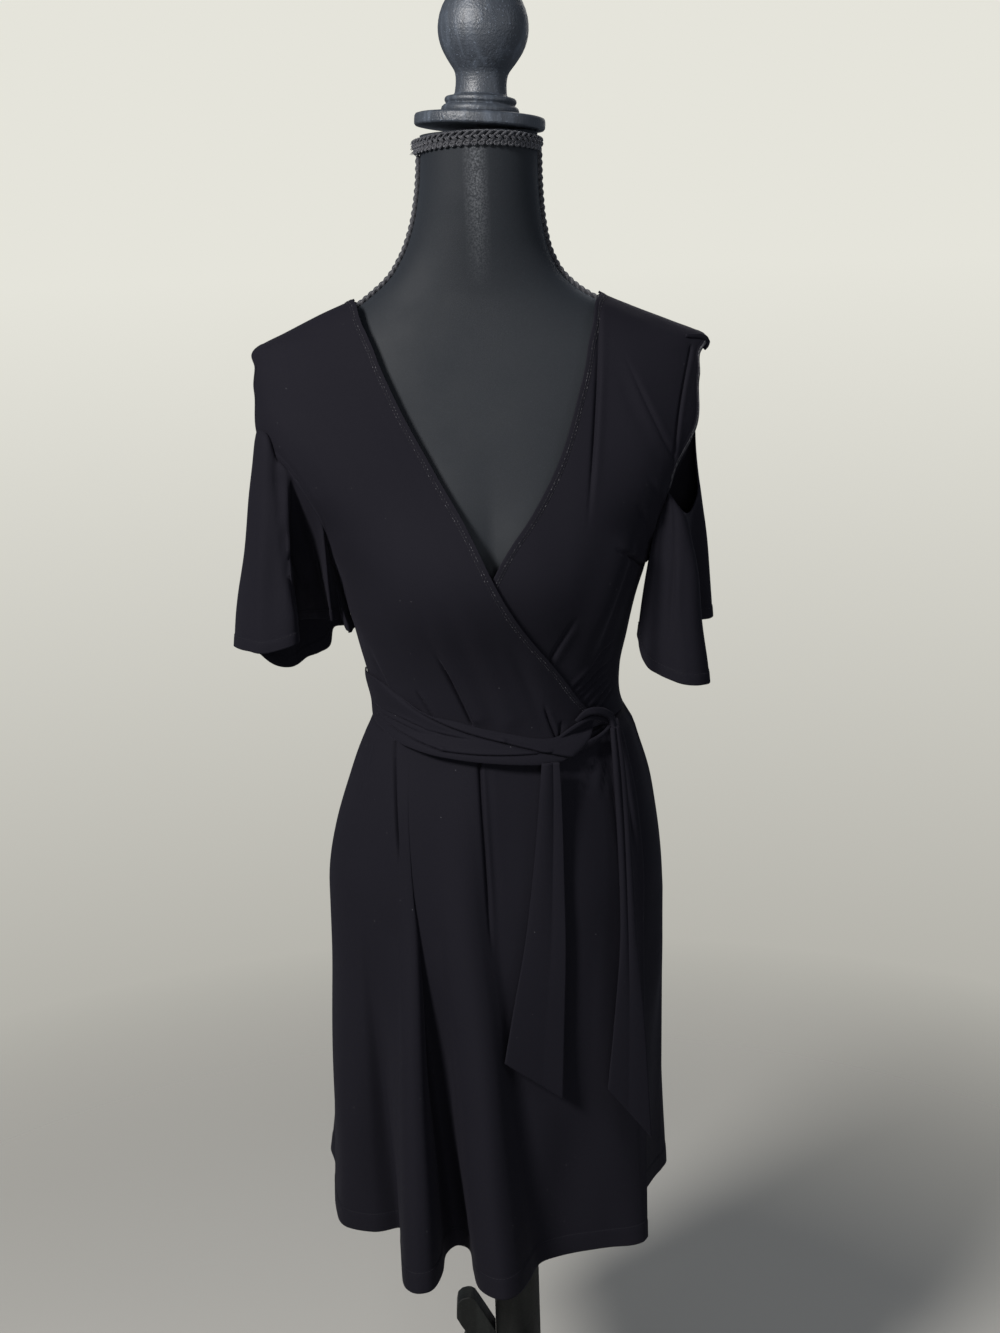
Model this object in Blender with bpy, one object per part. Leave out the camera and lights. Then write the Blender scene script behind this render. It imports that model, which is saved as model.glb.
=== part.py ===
"""A knee-length jersey wrap dress on a limbless dress form with a tripod stand.

Metres, +Z up, the dress faces -Y. The origin is on the floor under the middle of the whole.
"Left" and "right" in names are those of the viewer who faces the front of the dress. Every
piece is worked out round the post's axis and then moved sideways with it.

Every cloth piece is a grid of points on its own surface, given its thickness by a Solidify
modifier. The bodice is cut from one closed garment surface by its seams and edges; the skirt,
the sleeves and the tie are ruled between an upper line and a lower line with folds.
"""

import math

import bmesh
import bpy
import numpy as np

# ---------------------------------------------------------------- driving dimensions
CLOTH = 0.0015                 # thickness of one cloth wall
GAP = 0.0003                   # space kept between pieces that touch
WAIST_Z = 0.980                # waist seam at the sides and the back
WAIST_DIP = 0.016              # how much lower the waist seam runs at the front
HEM_Z = 0.442                  # hem of the skirt
UNDERARM_Z = 1.135             # lowest point of the armhole
SHOULDER_Z = 1.338             # outer end of the shoulder seam
NECK_POINT_Z = 1.379           # inner end of the shoulder seam
NAPE_DIP = 0.016               # how far the back's top edge dips between the neck points
HIP_Z = 0.780                  # fullest height of the hips, from which the skirt hangs straight
LAYER = 0.0027                 # how far the over front stands off the garment surface
UNDER_LAYER = -0.0015          # how far the under front lies inside it

BUST_DEPTH = 0.024             # how far each bust volume stands out
BUST_X = 0.068                 # sideways place of each bust volume
BUST_Z = 1.125                 # height of the bust line
BUST_SPREAD = 0.043            # softness of each bust volume

SEAM_SWING = 0.16              # half of the gap along a side seam, in degrees
WAIST_CLEAR = GAP / 2 + CLOTH / 2
SKIRT_TRIM = 0.0011            # share of a skirt piece's width left open at a side seam
SHOULDER_SHARE = 0.28          # share of the back's top edge that is one shoulder seam

CAP_LEAN = math.radians(4.2)   # the loose neck cap and its ball lean to the right
CAP_SHIFT = 0.0016             # and sit a little to the right of the axis
DISC_RADIUS = 0.0600
DISC_THICKNESS = 0.0115
DISC_Z = 1.5275                # middle of the underside of the disc
NECK_TOP_Z = DISC_Z - DISC_RADIUS * math.sin(CAP_LEAN) - GAP

AXIS_X = 0.0175                # the post stands this far right of the middle of the whole
POST_RADIUS = 0.0245
POST_FOOT_Z = 0.052
LEG_THICKNESS = 0.022
LEG_REACH = 0.225              # how far each foot stands from the post's axis
FOOT_LENGTH = 0.027            # flat length of each foot on the floor

# ---------------------------------------------------------------- tables
SECTION_COLUMNS = ("height", "left", "right", "front", "back", "squareness")

# Half widths and depths of the garment, measured from the vertical axis.
GARMENT = (
    (0.780, 0.1765, 0.1640, 0.1140, 0.1260, 2.20),
    (0.820, 0.1745, 0.1620, 0.1140, 0.1230, 2.20),
    (0.870, 0.1640, 0.1565, 0.1110, 0.1140, 2.15),
    (0.914, 0.1495, 0.1490, 0.1060, 0.1020, 2.10),
    (0.945, 0.1380, 0.1400, 0.1010, 0.0910, 2.10),
    (0.963, 0.1300, 0.1345, 0.0985, 0.0855, 2.10),
    (0.980, 0.1220, 0.1250, 0.0970, 0.0800, 2.10),
    (1.020, 0.1255, 0.1215, 0.0980, 0.0820, 2.15),
    (1.055, 0.1330, 0.1290, 0.1020, 0.0870, 2.20),
    (1.090, 0.1410, 0.1385, 0.1060, 0.0920, 2.30),
    (1.130, 0.1510, 0.1520, 0.1070, 0.0970, 2.40),
    (1.170, 0.1720, 0.1640, 0.1050, 0.1020, 2.60),
    (1.210, 0.2000, 0.1830, 0.0990, 0.1050, 2.90),
    (1.250, 0.2180, 0.2020, 0.0890, 0.1040, 3.10),
    (1.290, 0.2205, 0.2070, 0.0770, 0.0990, 3.00),
    (1.320, 0.2215, 0.2090, 0.0670, 0.0910, 2.70),
    (1.338, 0.2140, 0.2040, 0.0600, 0.0840, 2.45),
    (1.350, 0.1880, 0.1760, 0.0570, 0.0800, 2.30),
    (1.365, 0.1550, 0.1390, 0.0540, 0.0760, 2.15),
    (1.379, 0.1210, 0.1080, 0.0520, 0.0730, 2.05),
    (1.395, 0.1020, 0.0890, 0.0530, 0.0715, 2.00),
)

# The same for the form under it, whose neck stands a little askew.
FORM = (
    (0.655, 0.1440, 0.1440, 0.0860, 0.0950, 2.20),
    (0.700, 0.1530, 0.1530, 0.0950, 0.1070, 2.20),
    (0.780, 0.1570, 0.1570, 0.1060, 0.1170, 2.20),
    (0.820, 0.1540, 0.1540, 0.1060, 0.1150, 2.20),
    (0.870, 0.1470, 0.1470, 0.1030, 0.1060, 2.15),
    (0.914, 0.1380, 0.1380, 0.0985, 0.0930, 2.10),
    (0.945, 0.1290, 0.1290, 0.0935, 0.0820, 2.10),
    (0.980, 0.1175, 0.1175, 0.0895, 0.0710, 2.10),
    (1.020, 0.1175, 0.1175, 0.0905, 0.0730, 2.15),
    (1.055, 0.1240, 0.1240, 0.0945, 0.0780, 2.20),
    (1.090, 0.1320, 0.1320, 0.0985, 0.0830, 2.30),
    (1.130, 0.1410, 0.1410, 0.1000, 0.0890, 2.40),
    (1.170, 0.1480, 0.1480, 0.0985, 0.0940, 2.50),
    (1.210, 0.1550, 0.1550, 0.0925, 0.0970, 2.60),
    (1.250, 0.1640, 0.1640, 0.0825, 0.0960, 2.70),
    (1.290, 0.1760, 0.1760, 0.0705, 0.0910, 2.70),
    (1.318, 0.1840, 0.1840, 0.0605, 0.0835, 2.60),
    (1.330, 0.1810, 0.1810, 0.0560, 0.0790, 2.50),
    (1.342, 0.1650, 0.1600, 0.0520, 0.0750, 2.40),
    (1.356, 0.1420, 0.1340, 0.0485, 0.0710, 2.30),
    (1.368, 0.1235, 0.1125, 0.0465, 0.0680, 2.20),
    (1.380, 0.1065, 0.0920, 0.0455, 0.0660, 2.10),
    (1.395, 0.0885, 0.0750, 0.0460, 0.0640, 2.05),
    (1.414, 0.0750, 0.0638, 0.0480, 0.0620, 2.00),
    (1.440, 0.0638, 0.0572, 0.0515, 0.0600, 2.00),
    (1.467, 0.0575, 0.0546, 0.0545, 0.0585, 2.00),
    (1.500, 0.0540, 0.0540, 0.0555, 0.0565, 2.00),
    (NECK_TOP_Z, 0.0535, 0.0545, 0.0555, 0.0555, 2.00),
)

# Angle of the armhole's edge away from the side line, in degrees.
ARMHOLE_COLUMNS = ("height", "front_left", "front_right", "back_left", "back_right")
ARMHOLE = (
    (UNDERARM_Z, 0.0, 0.0, 0.0, 0.0),
    (1.150, 13.0, 9.0, 8.0, 5.0),
    (1.175, 22.0, 15.5, 13.0, 6.0),
    (1.200, 23.0, 17.5, 14.0, 5.5),
    (1.220, 21.2, 16.8, 14.0, 5.5),
    (1.238, 17.2, 14.6, 14.0, 6.5),
    (1.255, 11.0, 8.6, 14.0, 9.0),
    (1.300, 8.0, 6.0, 12.5, 12.5),
    (1.325, 6.0, 5.0, 8.5, 8.5),
    (SHOULDER_Z, 0.0, 0.0, 0.0, 0.0),
)

# Free wrap edges of the two fronts, seen from the front.
EDGE_COLUMNS = ("height", "x")
OVER_EDGE = (
    (1.003, 0.0780),
    (1.038, 0.0580),
    (1.088, 0.0270),
    (1.138, -0.0040),
    (1.186, -0.0290),
    (1.232, -0.0530),
    (1.278, -0.0770),
    (1.320, -0.0960),
    (1.352, -0.1090),
    (1.372, -0.1160),
)
OVER_WAIST_X = 0.1010

UNDER_EDGE = (
    (1.040, -0.0550),
    (1.088, -0.0270),
    (1.138, 0.0040),
    (1.160, 0.0200),
    (1.186, 0.0400),
    (1.232, 0.0640),
    (1.295, 0.0850),
    (1.345, 0.0975),
    (1.371, 0.1035),
)
UNDER_WAIST_X = -0.0850

# One row for each fold line of the skirt: its angle at the waist and its place at the hem.
FOLD_COLUMNS = ("waist_angle", "hem_x", "hem_y")
OVER_FOLDS = (
    (180.0, -0.1925, 0.0150),    # side seam
    (191.0, -0.1865, -0.0300),
    (199.0, -0.1790, -0.0555),
    (205.0, -0.1640, -0.0675),
    (209.0, -0.1410, -0.0720),
    (212.0, -0.1170, -0.0650),   # hollow before the first pleat
    (213.6, -0.1115, -0.0800),
    (215.0, -0.1120, -0.1230),
    (217.0, -0.1090, -0.1600),
    (219.0, -0.1005, -0.1750),
    (220.8, -0.0895, -0.1775),   # crest of the first pleat
    (222.2, -0.0795, -0.1700),
    (223.4, -0.0725, -0.1450),
    (224.6, -0.0690, -0.1150),
    (226.2, -0.0575, -0.0990),   # hollow between the pleats
    (228.2, -0.0440, -0.1080),
    (230.5, -0.0415, -0.1420),
    (234.0, -0.0360, -0.1710),
    (239.0, -0.0230, -0.1870),
    (244.0, -0.0100, -0.1910),   # crest of the second pleat
    (249.0, 0.0020, -0.1820),
    (254.0, 0.0120, -0.1610),
    (259.0, 0.0225, -0.1370),
    (266.0, 0.0400, -0.1250),    # flat wrap panel
    (276.0, 0.0620, -0.1155),
    (292.0, 0.0900, -0.1120),
    (309.0, 0.1130, -0.1100),
    (325.0, 0.1260, -0.1050),
    (338.0, 0.1325, -0.0965),    # free wrap edge
)
UNDER_FOLDS = (
    (236.0, -0.0450, -0.0920),   # hidden edge
    (258.0, -0.0100, -0.1050),
    (282.0, 0.0400, -0.1060),
    (302.0, 0.0780, -0.1030),
    (318.0, 0.1020, -0.0940),
    (331.0, 0.1190, -0.0680),
    (342.0, 0.1360, -0.0250),
    (351.0, 0.1490, 0.0040),
    (360.0, 0.1610, 0.0260),     # side seam
)
BACK_FOLDS = (
    (0.0, 0.1610, 0.0260),       # side seam
    (12.0, 0.1685, 0.0460),
    (26.0, 0.1630, 0.0760),
    (40.0, 0.1380, 0.1120),
    (54.0, 0.1060, 0.1450),
    (69.0, 0.0700, 0.1230),
    (85.0, 0.0220, 0.1680),
    (101.0, -0.0240, 0.1300),
    (117.0, -0.0780, 0.1610),
    (132.0, -0.1220, 0.1230),
    (147.0, -0.1760, 0.1300),
    (161.0, -0.2040, 0.1020),
    (171.0, -0.1980, 0.0620),
    (180.0, -0.1925, 0.0150),    # side seam
)

# One row for each fold line of a sleeve's hem; "ring" runs once round the sleeve, from the
# front notch down the armhole, under the arm, up to the back notch and round the free edge.
SLEEVE_COLUMNS = ("ring", "hem_x", "hem_y", "hem_z")
LEFT_SLEEVE = (
    (0.00, -0.2120, -0.0770, 1.0600),
    (0.025, -0.1885, -0.0785, 1.0670),       # front fold
    (0.045, -0.1845, -0.0610, 1.0680),
    (0.075, -0.1980, -0.0180, 1.0700),
    (0.12, -0.2040, 0.0220, 1.0700),         # deep hollow behind it
    (0.175, -0.1880, 0.0260, 1.0720),
    (0.22, -0.1690, -0.0060, 1.0760),
    (0.258, -0.1555, -0.0480, 1.0820),       # second crest
    (0.29, -0.1480, -0.0280, 1.0800),
    (0.325, -0.1400, -0.0420, 1.0700),       # third crest, beside the body
    (0.37, -0.1385, -0.0250, 1.0680),
    (0.42, -0.1390, 0.0000, 1.0660),
    (0.46, -0.1500, 0.0150, 1.0640),
    (0.49, -0.1620, 0.0220, 1.0600),
    (0.52, -0.1660, 0.0280, 1.0420),
    (0.56, -0.1780, 0.0380, 1.0320),
    (0.61, -0.1930, 0.0470, 1.0250),         # back of the arm
    (0.66, -0.2080, 0.0540, 1.0140),
    (0.72, -0.2270, 0.0500, 1.0180),
    (0.78, -0.2430, 0.0340, 1.0380),
    (0.84, -0.2520, 0.0100, 1.0520),
    (0.89, -0.2545, -0.0120, 1.0540),        # outermost line
    (0.935, -0.2490, -0.0400, 1.0580),
    (0.968, -0.2340, -0.0670, 1.0600),
)
RIGHT_SLEEVE = (
    (0.00, 0.1820, -0.0640, 1.0120),
    (0.035, 0.1680, -0.0620, 1.0160),
    (0.06, 0.1550, -0.0600, 1.0220),
    (0.08, 0.1445, -0.0620, 1.0300),
    (0.10, 0.1380, -0.0600, 1.0430),
    (0.118, 0.1360, -0.0580, 1.0590),        # front fold, beside the body
    (0.14, 0.1395, -0.0500, 1.0640),
    (0.17, 0.1450, -0.0360, 1.0650),
    (0.24, 0.1510, -0.0140, 1.0680),
    (0.42, 0.1565, 0.0080, 1.0670),          # under the arm
    (0.50, 0.1650, 0.0300, 1.0610),
    (0.58, 0.1840, 0.0500, 1.0560),
    (0.68, 0.2070, 0.0550, 1.0560),          # back of the arm
    (0.76, 0.2190, 0.0320, 1.0600),          # outermost line
    (0.81, 0.2150, 0.0160, 1.0590),
    (0.86, 0.1910, 0.0100, 1.0540),
    (0.905, 0.1880, -0.0160, 1.0300),        # hollow behind the front fold
    (0.94, 0.2045, -0.0460, 1.0110),
    (0.97, 0.1960, -0.0600, 1.0105),
)
SLEEVE_ATTACHED = 0.66         # share of the ring that is sewn to the armhole
SLEEVE_LIFT = 0.0030           # how far its sewn edge stands outside the armhole
FRONT_NOTCH_Z = {"left": 1.240, "right": 1.196}     # where the seam ends on the front
BACK_NOTCH_Z = {"left": 1.240, "right": 1.252}      # and on the back
SLEEVE_RISE = {"left": 0.70, "right": 1.15}         # how steeply the seam climbs to them
SLEEVE_MEAN = 4                # points to each side over which the hem's folds are averaged
SLEEVE_FOLD_GROWTH = 0.55      # power with which the folds grow below the seam

# The free upper edge of each sleeve, between the back notch and the front one.
FREE_EDGE_COLUMNS = ("share", "x", "y", "z")
FREE_EDGES = {
    "left": (
        (0.25, -0.2200, 0.0300, 1.2240),
        (0.50, -0.2215, 0.0020, 1.2160),
        (0.76, -0.2165, -0.0280, 1.2440),
        (0.88, -0.2130, -0.0450, 1.2640),
        (0.95, -0.2020, -0.0580, 1.2600),
    ),
    "right": (
        (0.25, 0.1995, 0.0080, 1.2200),
        (0.50, 0.1985, -0.0140, 1.1880),
        (0.72, 0.1880, -0.0350, 1.1730),
        (0.88, 0.1780, -0.0520, 1.1790),
    ),
}

# Middle line of the tie where it crosses the front.
TIE_COLUMNS = ("angle", "height", "width")
TIE = (
    (181.0, 1.0040, 0.0430),
    (193.0, 1.0030, 0.0480),
    (206.0, 1.0005, 0.0510),
    (219.0, 0.9900, 0.0465),
    (228.0, 0.9842, 0.0420),
    (237.0, 0.9792, 0.0385),
    (248.0, 0.9756, 0.0370),
    (259.0, 0.9714, 0.0335),
    (276.0, 0.9662, 0.0290),
    (293.0, 0.9615, 0.0235),
    (303.0, 0.9635, 0.0222),
    (309.5, 0.9690, 0.0215),
    (315.0, 0.9765, 0.0210),
    (320.5, 0.9850, 0.0150),
)
TIE_OFFSET = 0.0085            # how far the middle of the tie stands off the garment
TIE_START_OFFSET = 0.0040      # and where it comes out of the side seam
TIE_FOLD = 0.0018              # depth of its lengthwise folds
TIE_FOLDS = 3

# Middle lines of the hanging ends; "turn" swings the ribbon about the vertical, in degrees.
TAIL_COLUMNS = ("height", "x", "y", "width", "turn", "slope")
FRONT_TAIL = (
    (0.955, 0.0480, -0.1170, 0.0160, 10.0, 0.0),
    (0.935, 0.0475, -0.1250, 0.0190, 10.0, 0.0),
    (0.900, 0.0462, -0.1290, 0.0230, 8.0, 0.0),
    (0.840, 0.0430, -0.1310, 0.0300, 4.0, 0.0),
    (0.780, 0.0390, -0.1340, 0.0380, 4.0, 0.2),
    (0.700, 0.0300, -0.1390, 0.0490, 8.0, 0.6),
    (0.642, 0.0235, -0.1440, 0.0560, 9.0, 1.0),
)
SIDE_TAIL = (
    (0.977, 0.1100, -0.0780, 0.0090, 40.0, 0.0),
    (0.950, 0.1130, -0.0860, 0.0095, 36.0, 0.0),
    (0.900, 0.1160, -0.0930, 0.0090, 30.0, 0.0),
    (0.840, 0.1180, -0.1020, 0.0090, 22.0, 0.0),
    (0.780, 0.1190, -0.1100, 0.0120, 16.0, 0.1),
    (0.700, 0.1190, -0.1180, 0.0270, 12.0, 0.5),
    (0.597, 0.1165, -0.1260, 0.0430, 10.0, 1.0),
)
FRONT_TAIL_CUT = -0.044        # how much lower the right corner of the cut end hangs
SIDE_TAIL_CUT = -0.058

# Path of the band that loops over the tie and turns down into the side tail.
KNOT_COLUMNS = ("angle", "height", "offset", "width", "thickness")
KNOT = (
    (313.8, 0.9835, 0.0158, 0.0070, 0.0060),
    (315.8, 0.9885, 0.0162, 0.0078, 0.0066),
    (318.6, 0.9910, 0.0164, 0.0080, 0.0070),
    (321.4, 0.9900, 0.0164, 0.0082, 0.0070),
    (323.0, 0.9850, 0.0162, 0.0084, 0.0068),
    (323.2, 0.9785, 0.0160, 0.0086, 0.0062),
)

# Turned profiles, radius and height above the disc's underside.
PROFILE_COLUMNS = ("radius", "height")
DISC = (
    (0.0560, 0.0000),
    (0.0592, 0.0010),
    (DISC_RADIUS, 0.0030),
    (DISC_RADIUS, 0.0085),
    (0.0590, 0.0105),
    (0.0560, DISC_THICKNESS),
)
CAP_RING = (
    (0.0345, 0.0118),
    (0.0357, 0.0142),
    (0.0354, 0.0175),
    (0.0335, 0.0196),
    (0.0318, 0.0204),
    (0.0327, 0.0222),
    (0.0330, 0.0242),
    (0.0320, 0.0262),
    (0.0292, 0.0275),
)
BALL = (
    (0.0262, 0.0278),
    (0.0241, 0.0296),
    (0.0235, 0.0340),
    (0.0232, 0.0400),
    (0.0241, 0.0473),
    (0.0277, 0.0534),
    (0.0328, 0.0607),
    (0.0368, 0.0675),
    (0.0400, 0.0765),
    (0.0411, 0.0860),
    (0.0398, 0.0975),
    (0.0345, 0.1105),
    (0.0225, 0.1215),
    (0.0090, 0.1258),
)
BALL_TOP = 0.1266

# The legs fold round the post, so their collars sit one above another.
LEG_COLUMNS = ("name", "direction", "knee_height")
LEGS = (
    ("stand_leg_left", 180.0, 0.316),
    ("stand_leg_front", 300.0, 0.264),
    ("stand_leg_back", 60.0, 0.212),
)

BRAID_LOOPS = 24
BRAID_HEIGHT = 0.0125
BRAID_SAG = 0.0030             # how much lower the braid runs at the sides of the neck
BRAID_TILT = 0.0010            # and how much lower still at the right
BRAID_END = 0.0030             # how far its joined ends stand off at the left
PIPING_RADIUS = 0.0028
PIPING_STAND = 0.0010          # space between the piping and the neck

COLOURS = {
    "jersey": ((0.016, 0.016, 0.020), 0.62, 0.0),
    "form_cover": ((0.026, 0.030, 0.035), 0.80, 0.0),
    "braid": ((0.014, 0.014, 0.018), 0.60, 0.0),
    "painted_wood": ((0.012, 0.012, 0.013), 0.38, 0.0),
}


# ---------------------------------------------------------------- numbers
def columns(names, rows):
    """A table as one array for each named column."""
    return {name: np.array(values) for name, values in zip(names, zip(*rows))}


def curve(at, knots, values):
    """Smooth line through the knots: cubic pieces whose slopes come from their neighbours."""
    slopes = np.gradient(values, knots)
    at = np.clip(at, knots[0], knots[-1])
    i = np.clip(np.searchsorted(knots, at, side="right") - 1, 0, len(knots) - 2)
    step = knots[i + 1] - knots[i]
    t = (at - knots[i]) / step
    start = (1 + 2 * t) * (1 - t) ** 2 * values[i] + t * (1 - t) ** 2 * step * slopes[i]
    end = t * t * (3 - 2 * t) * values[i + 1] + t * t * (t - 1) * step * slopes[i + 1]
    return start + end


def ramp(value, low, high):
    """0 below low, 1 above high, and smooth between them."""
    t = np.clip((value - low) / (high - low), 0.0, 1.0)
    return t * t * (3 - 2 * t)


def section_sizes(table, angle, height):
    """Half width, half depth and squareness of the section on the side that the angle faces."""
    size = columns(SECTION_COLUMNS, table)
    read = {name: curve(height, size["height"], size[name]) for name in SECTION_COLUMNS[1:]}
    half = np.where(np.cos(angle) > 0, read["right"], read["left"])
    deep = np.where(np.sin(angle) > 0, read["back"], read["front"])
    return half, deep, read["squareness"]


def section_radius(table, angle, height):
    """Distance of the rounded section from the axis in one direction (a superellipse)."""
    half, deep, power = section_sizes(table, angle, height)
    total = np.abs(np.cos(angle) / half) ** power + np.abs(np.sin(angle) / deep) ** power
    return total ** (-1.0 / power)


def bust(x, height, spanned):
    """Forward swell of the bust; where cloth spans it, the hollow between is bridged."""
    aside = np.abs(x) - BUST_X
    if spanned:
        aside = np.maximum(aside, 0.0)
    up = height - BUST_Z
    return BUST_DEPTH * np.exp(-(aside**2 + up**2) / (2 * BUST_SPREAD**2))


def body_point(table, angle, height, spanned):
    """Point of the form or of the garment at an angle round the axis and a height."""
    radius = section_radius(table, angle, height)
    x = radius * np.cos(angle)
    y = radius * np.sin(angle)
    y = y - bust(x, height, spanned) * np.clip(-np.sin(angle), 0.0, 1.0) ** 0.7
    return np.stack([x, y, height * np.ones_like(x)], axis=-1)


def waist_height(angle):
    """The waist seam runs level at the back and dips a little at the front."""
    return WAIST_Z - WAIST_DIP * np.clip(-np.sin(angle), 0.0, 1.0) ** 2


def front_angle(x, height):
    """Angle at which the garment's front has this sideways place."""
    guess = np.where(np.asarray(x) > 0, -0.5, -math.pi + 0.5)
    half, deep, power = section_sizes(GARMENT, guess, height)
    y = -deep * (1 - np.clip(np.abs(x) / half, 0.0, 0.999) ** power) ** (1 / power)
    return np.arctan2(y, x) + 2 * math.pi


def normals(grid):
    """Outward unit normals of a grid of points that goes round the vertical axis."""
    along = np.gradient(grid, axis=0)
    up = np.gradient(grid, axis=1)
    normal = np.cross(along, up)
    normal /= np.linalg.norm(normal, axis=-1, keepdims=True)
    away = np.sum(normal[..., :2] * grid[..., :2], axis=-1).mean()
    return normal if away > 0 else -normal


def coons(bottom, top, left, right):
    """Patch between four edge lines, each an array of (angle, height) rows."""
    u = np.linspace(0, 1, len(bottom))[:, None, None]
    v = np.linspace(0, 1, len(left))[None, :, None]
    ruled = (1 - v) * bottom[:, None] + v * top[:, None] + (1 - u) * left[None] + u * right[None]
    corners = (
        (1 - u) * (1 - v) * bottom[0]
        + u * (1 - v) * bottom[-1]
        + (1 - u) * v * top[0]
        + u * v * top[-1]
    )
    return ruled - corners


# ---------------------------------------------------------------- objects
def clear_scene():
    for item in list(bpy.data.objects):
        bpy.data.objects.remove(item, do_unlink=True)


def material(name):
    colour, roughness, metallic = COLOURS[name]
    made = bpy.data.materials.get(name) or bpy.data.materials.new(name)
    made.use_nodes = True
    shader = made.node_tree.nodes["Principled BSDF"]
    shader.inputs["Base Color"].default_value = (*colour, 1.0)
    shader.inputs["Roughness"].default_value = roughness
    shader.inputs["Metallic"].default_value = metallic
    return made


def add_object(name, mesh, finish):
    mesh.materials.append(material(finish))
    made = bpy.data.objects.new(name, mesh)
    bpy.context.scene.collection.objects.link(made)
    return made


def grid_faces(across, along, closed):
    """Quads of a grid, wrapped round when the first and last columns are neighbours."""
    faces = []
    for i in range(across if closed else across - 1):
        for j in range(along - 1):
            a = i * along + j
            b = ((i + 1) % across) * along + j
            faces.append((a, b, b + 1, a + 1))
    return faces


def cloth(name, grid, closed=False, thickness=CLOTH):
    """A cloth wall on a grid of points, half its thickness to each side."""
    across, along = grid.shape[:2]
    mesh = bpy.data.meshes.new(name)
    mesh.from_pydata(grid.reshape(-1, 3).tolist(), [], grid_faces(across, along, closed))
    made = add_object(name, mesh, "jersey")
    made.data.shade_smooth()
    wall = made.modifiers.new("Cloth thickness", "SOLIDIFY")
    wall.thickness = thickness
    wall.offset = 0.0
    wall.use_even_offset = False
    return made


def solid_of_rings(name, rings, finish):
    """A closed body from rings of points, with a flat cap on the first and the last."""
    count, around = rings.shape[:2]
    mesh = bpy.data.meshes.new(name)
    made = bmesh.new()
    points = [[made.verts.new(point) for point in ring] for ring in rings.tolist()]
    for j in range(count - 1):
        for i in range(around):
            k = (i + 1) % around
            made.faces.new((points[j][i], points[j][k], points[j + 1][k], points[j + 1][i]))
    made.faces.new(points[0][::-1])
    made.faces.new(points[-1])
    bmesh.ops.recalc_face_normals(made, faces=made.faces[:])
    made.to_mesh(mesh)
    made.free()
    mesh.shade_smooth()
    mesh.set_sharp_from_angle(angle=math.radians(40))
    return add_object(name, mesh, finish)


def ring_band(name, rings, finish):
    """A closed band round an axis: its rings follow each other round the band's section."""
    count, around = rings.shape[:2]
    mesh = bpy.data.meshes.new(name)
    made = bmesh.new()
    points = [[made.verts.new(point) for point in ring] for ring in rings.tolist()]
    for j in range(count):
        near, far = points[j], points[(j + 1) % count]
        for i in range(around):
            k = (i + 1) % around
            made.faces.new((near[i], near[k], far[k], far[i]))
    bmesh.ops.recalc_face_normals(made, faces=made.faces[:])
    made.to_mesh(mesh)
    made.free()
    mesh.shade_smooth()
    return add_object(name, mesh, finish)


def turned(name, profile, finish, steps=28, top=None):
    """A turned piece round its own upright axis, closed at the top by a point or a flat cap."""
    shape = columns(PROFILE_COLUMNS, profile)
    turn = np.linspace(0, 2 * math.pi, steps, endpoint=False)
    rings = np.stack(
        [
            shape["radius"][:, None] * np.cos(turn),
            shape["radius"][:, None] * np.sin(turn),
            shape["height"][:, None] * np.ones(steps),
        ],
        axis=-1,
    )
    if top is not None:
        tip = np.stack([0.004 * np.cos(turn), 0.004 * np.sin(turn), np.full(steps, top)], axis=-1)
        rings = np.concatenate([rings, tip[None]])
    return solid_of_rings(name, rings, finish)


# ---------------------------------------------------------------- dress form
def form_levels():
    """Heights of the rings that the form is built from, closer together where it curves."""
    heights = columns(SECTION_COLUMNS, FORM)["height"]
    return np.interp(np.linspace(0, 1, 26), np.linspace(0, 1, len(heights)), heights)


def build_form():
    levels = form_levels()
    angle = np.linspace(0, 2 * math.pi, 32, endpoint=False)
    rings = body_point(FORM, angle[None, :] + 0 * levels[:, None], levels[:, None], False)
    solid_of_rings("form_torso", rings, "form_cover")


def build_braid():
    """Gimp braid round the neck: a band with a row of round loops on its outer face."""
    around = BRAID_LOOPS * 3
    angle = np.linspace(0, 2 * math.pi, around, endpoint=False)
    frayed = BRAID_END * np.exp(-(((angle - math.pi) / 0.3) ** 2))
    inner = section_radius(FORM, angle, NECK_TOP_Z) + 0.0012 + frayed
    swell = 0.5 + 0.5 * np.cos(angle * BRAID_LOOPS)
    top = NECK_TOP_Z - 0.0006 - BRAID_SAG * np.cos(angle) ** 2
    top -= BRAID_TILT * (1 + np.cos(angle)) / 2
    rows = (
        (0.0000, BRAID_HEIGHT),
        (0.0018 + 0.0016 * swell, 0.78 * BRAID_HEIGHT),
        (0.0018, 0.48 * BRAID_HEIGHT),
        (0.0022 + 0.0010 * np.roll(swell, 1), 0.20 * BRAID_HEIGHT),
        (0.0000, 0.0),
    )
    rings = [
        np.stack([(inner + out) * np.cos(angle), (inner + out) * np.sin(angle), top - down], axis=-1)
        for out, down in rows
    ]
    ring_band("neck_braid", np.stack(rings), "braid")


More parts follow.
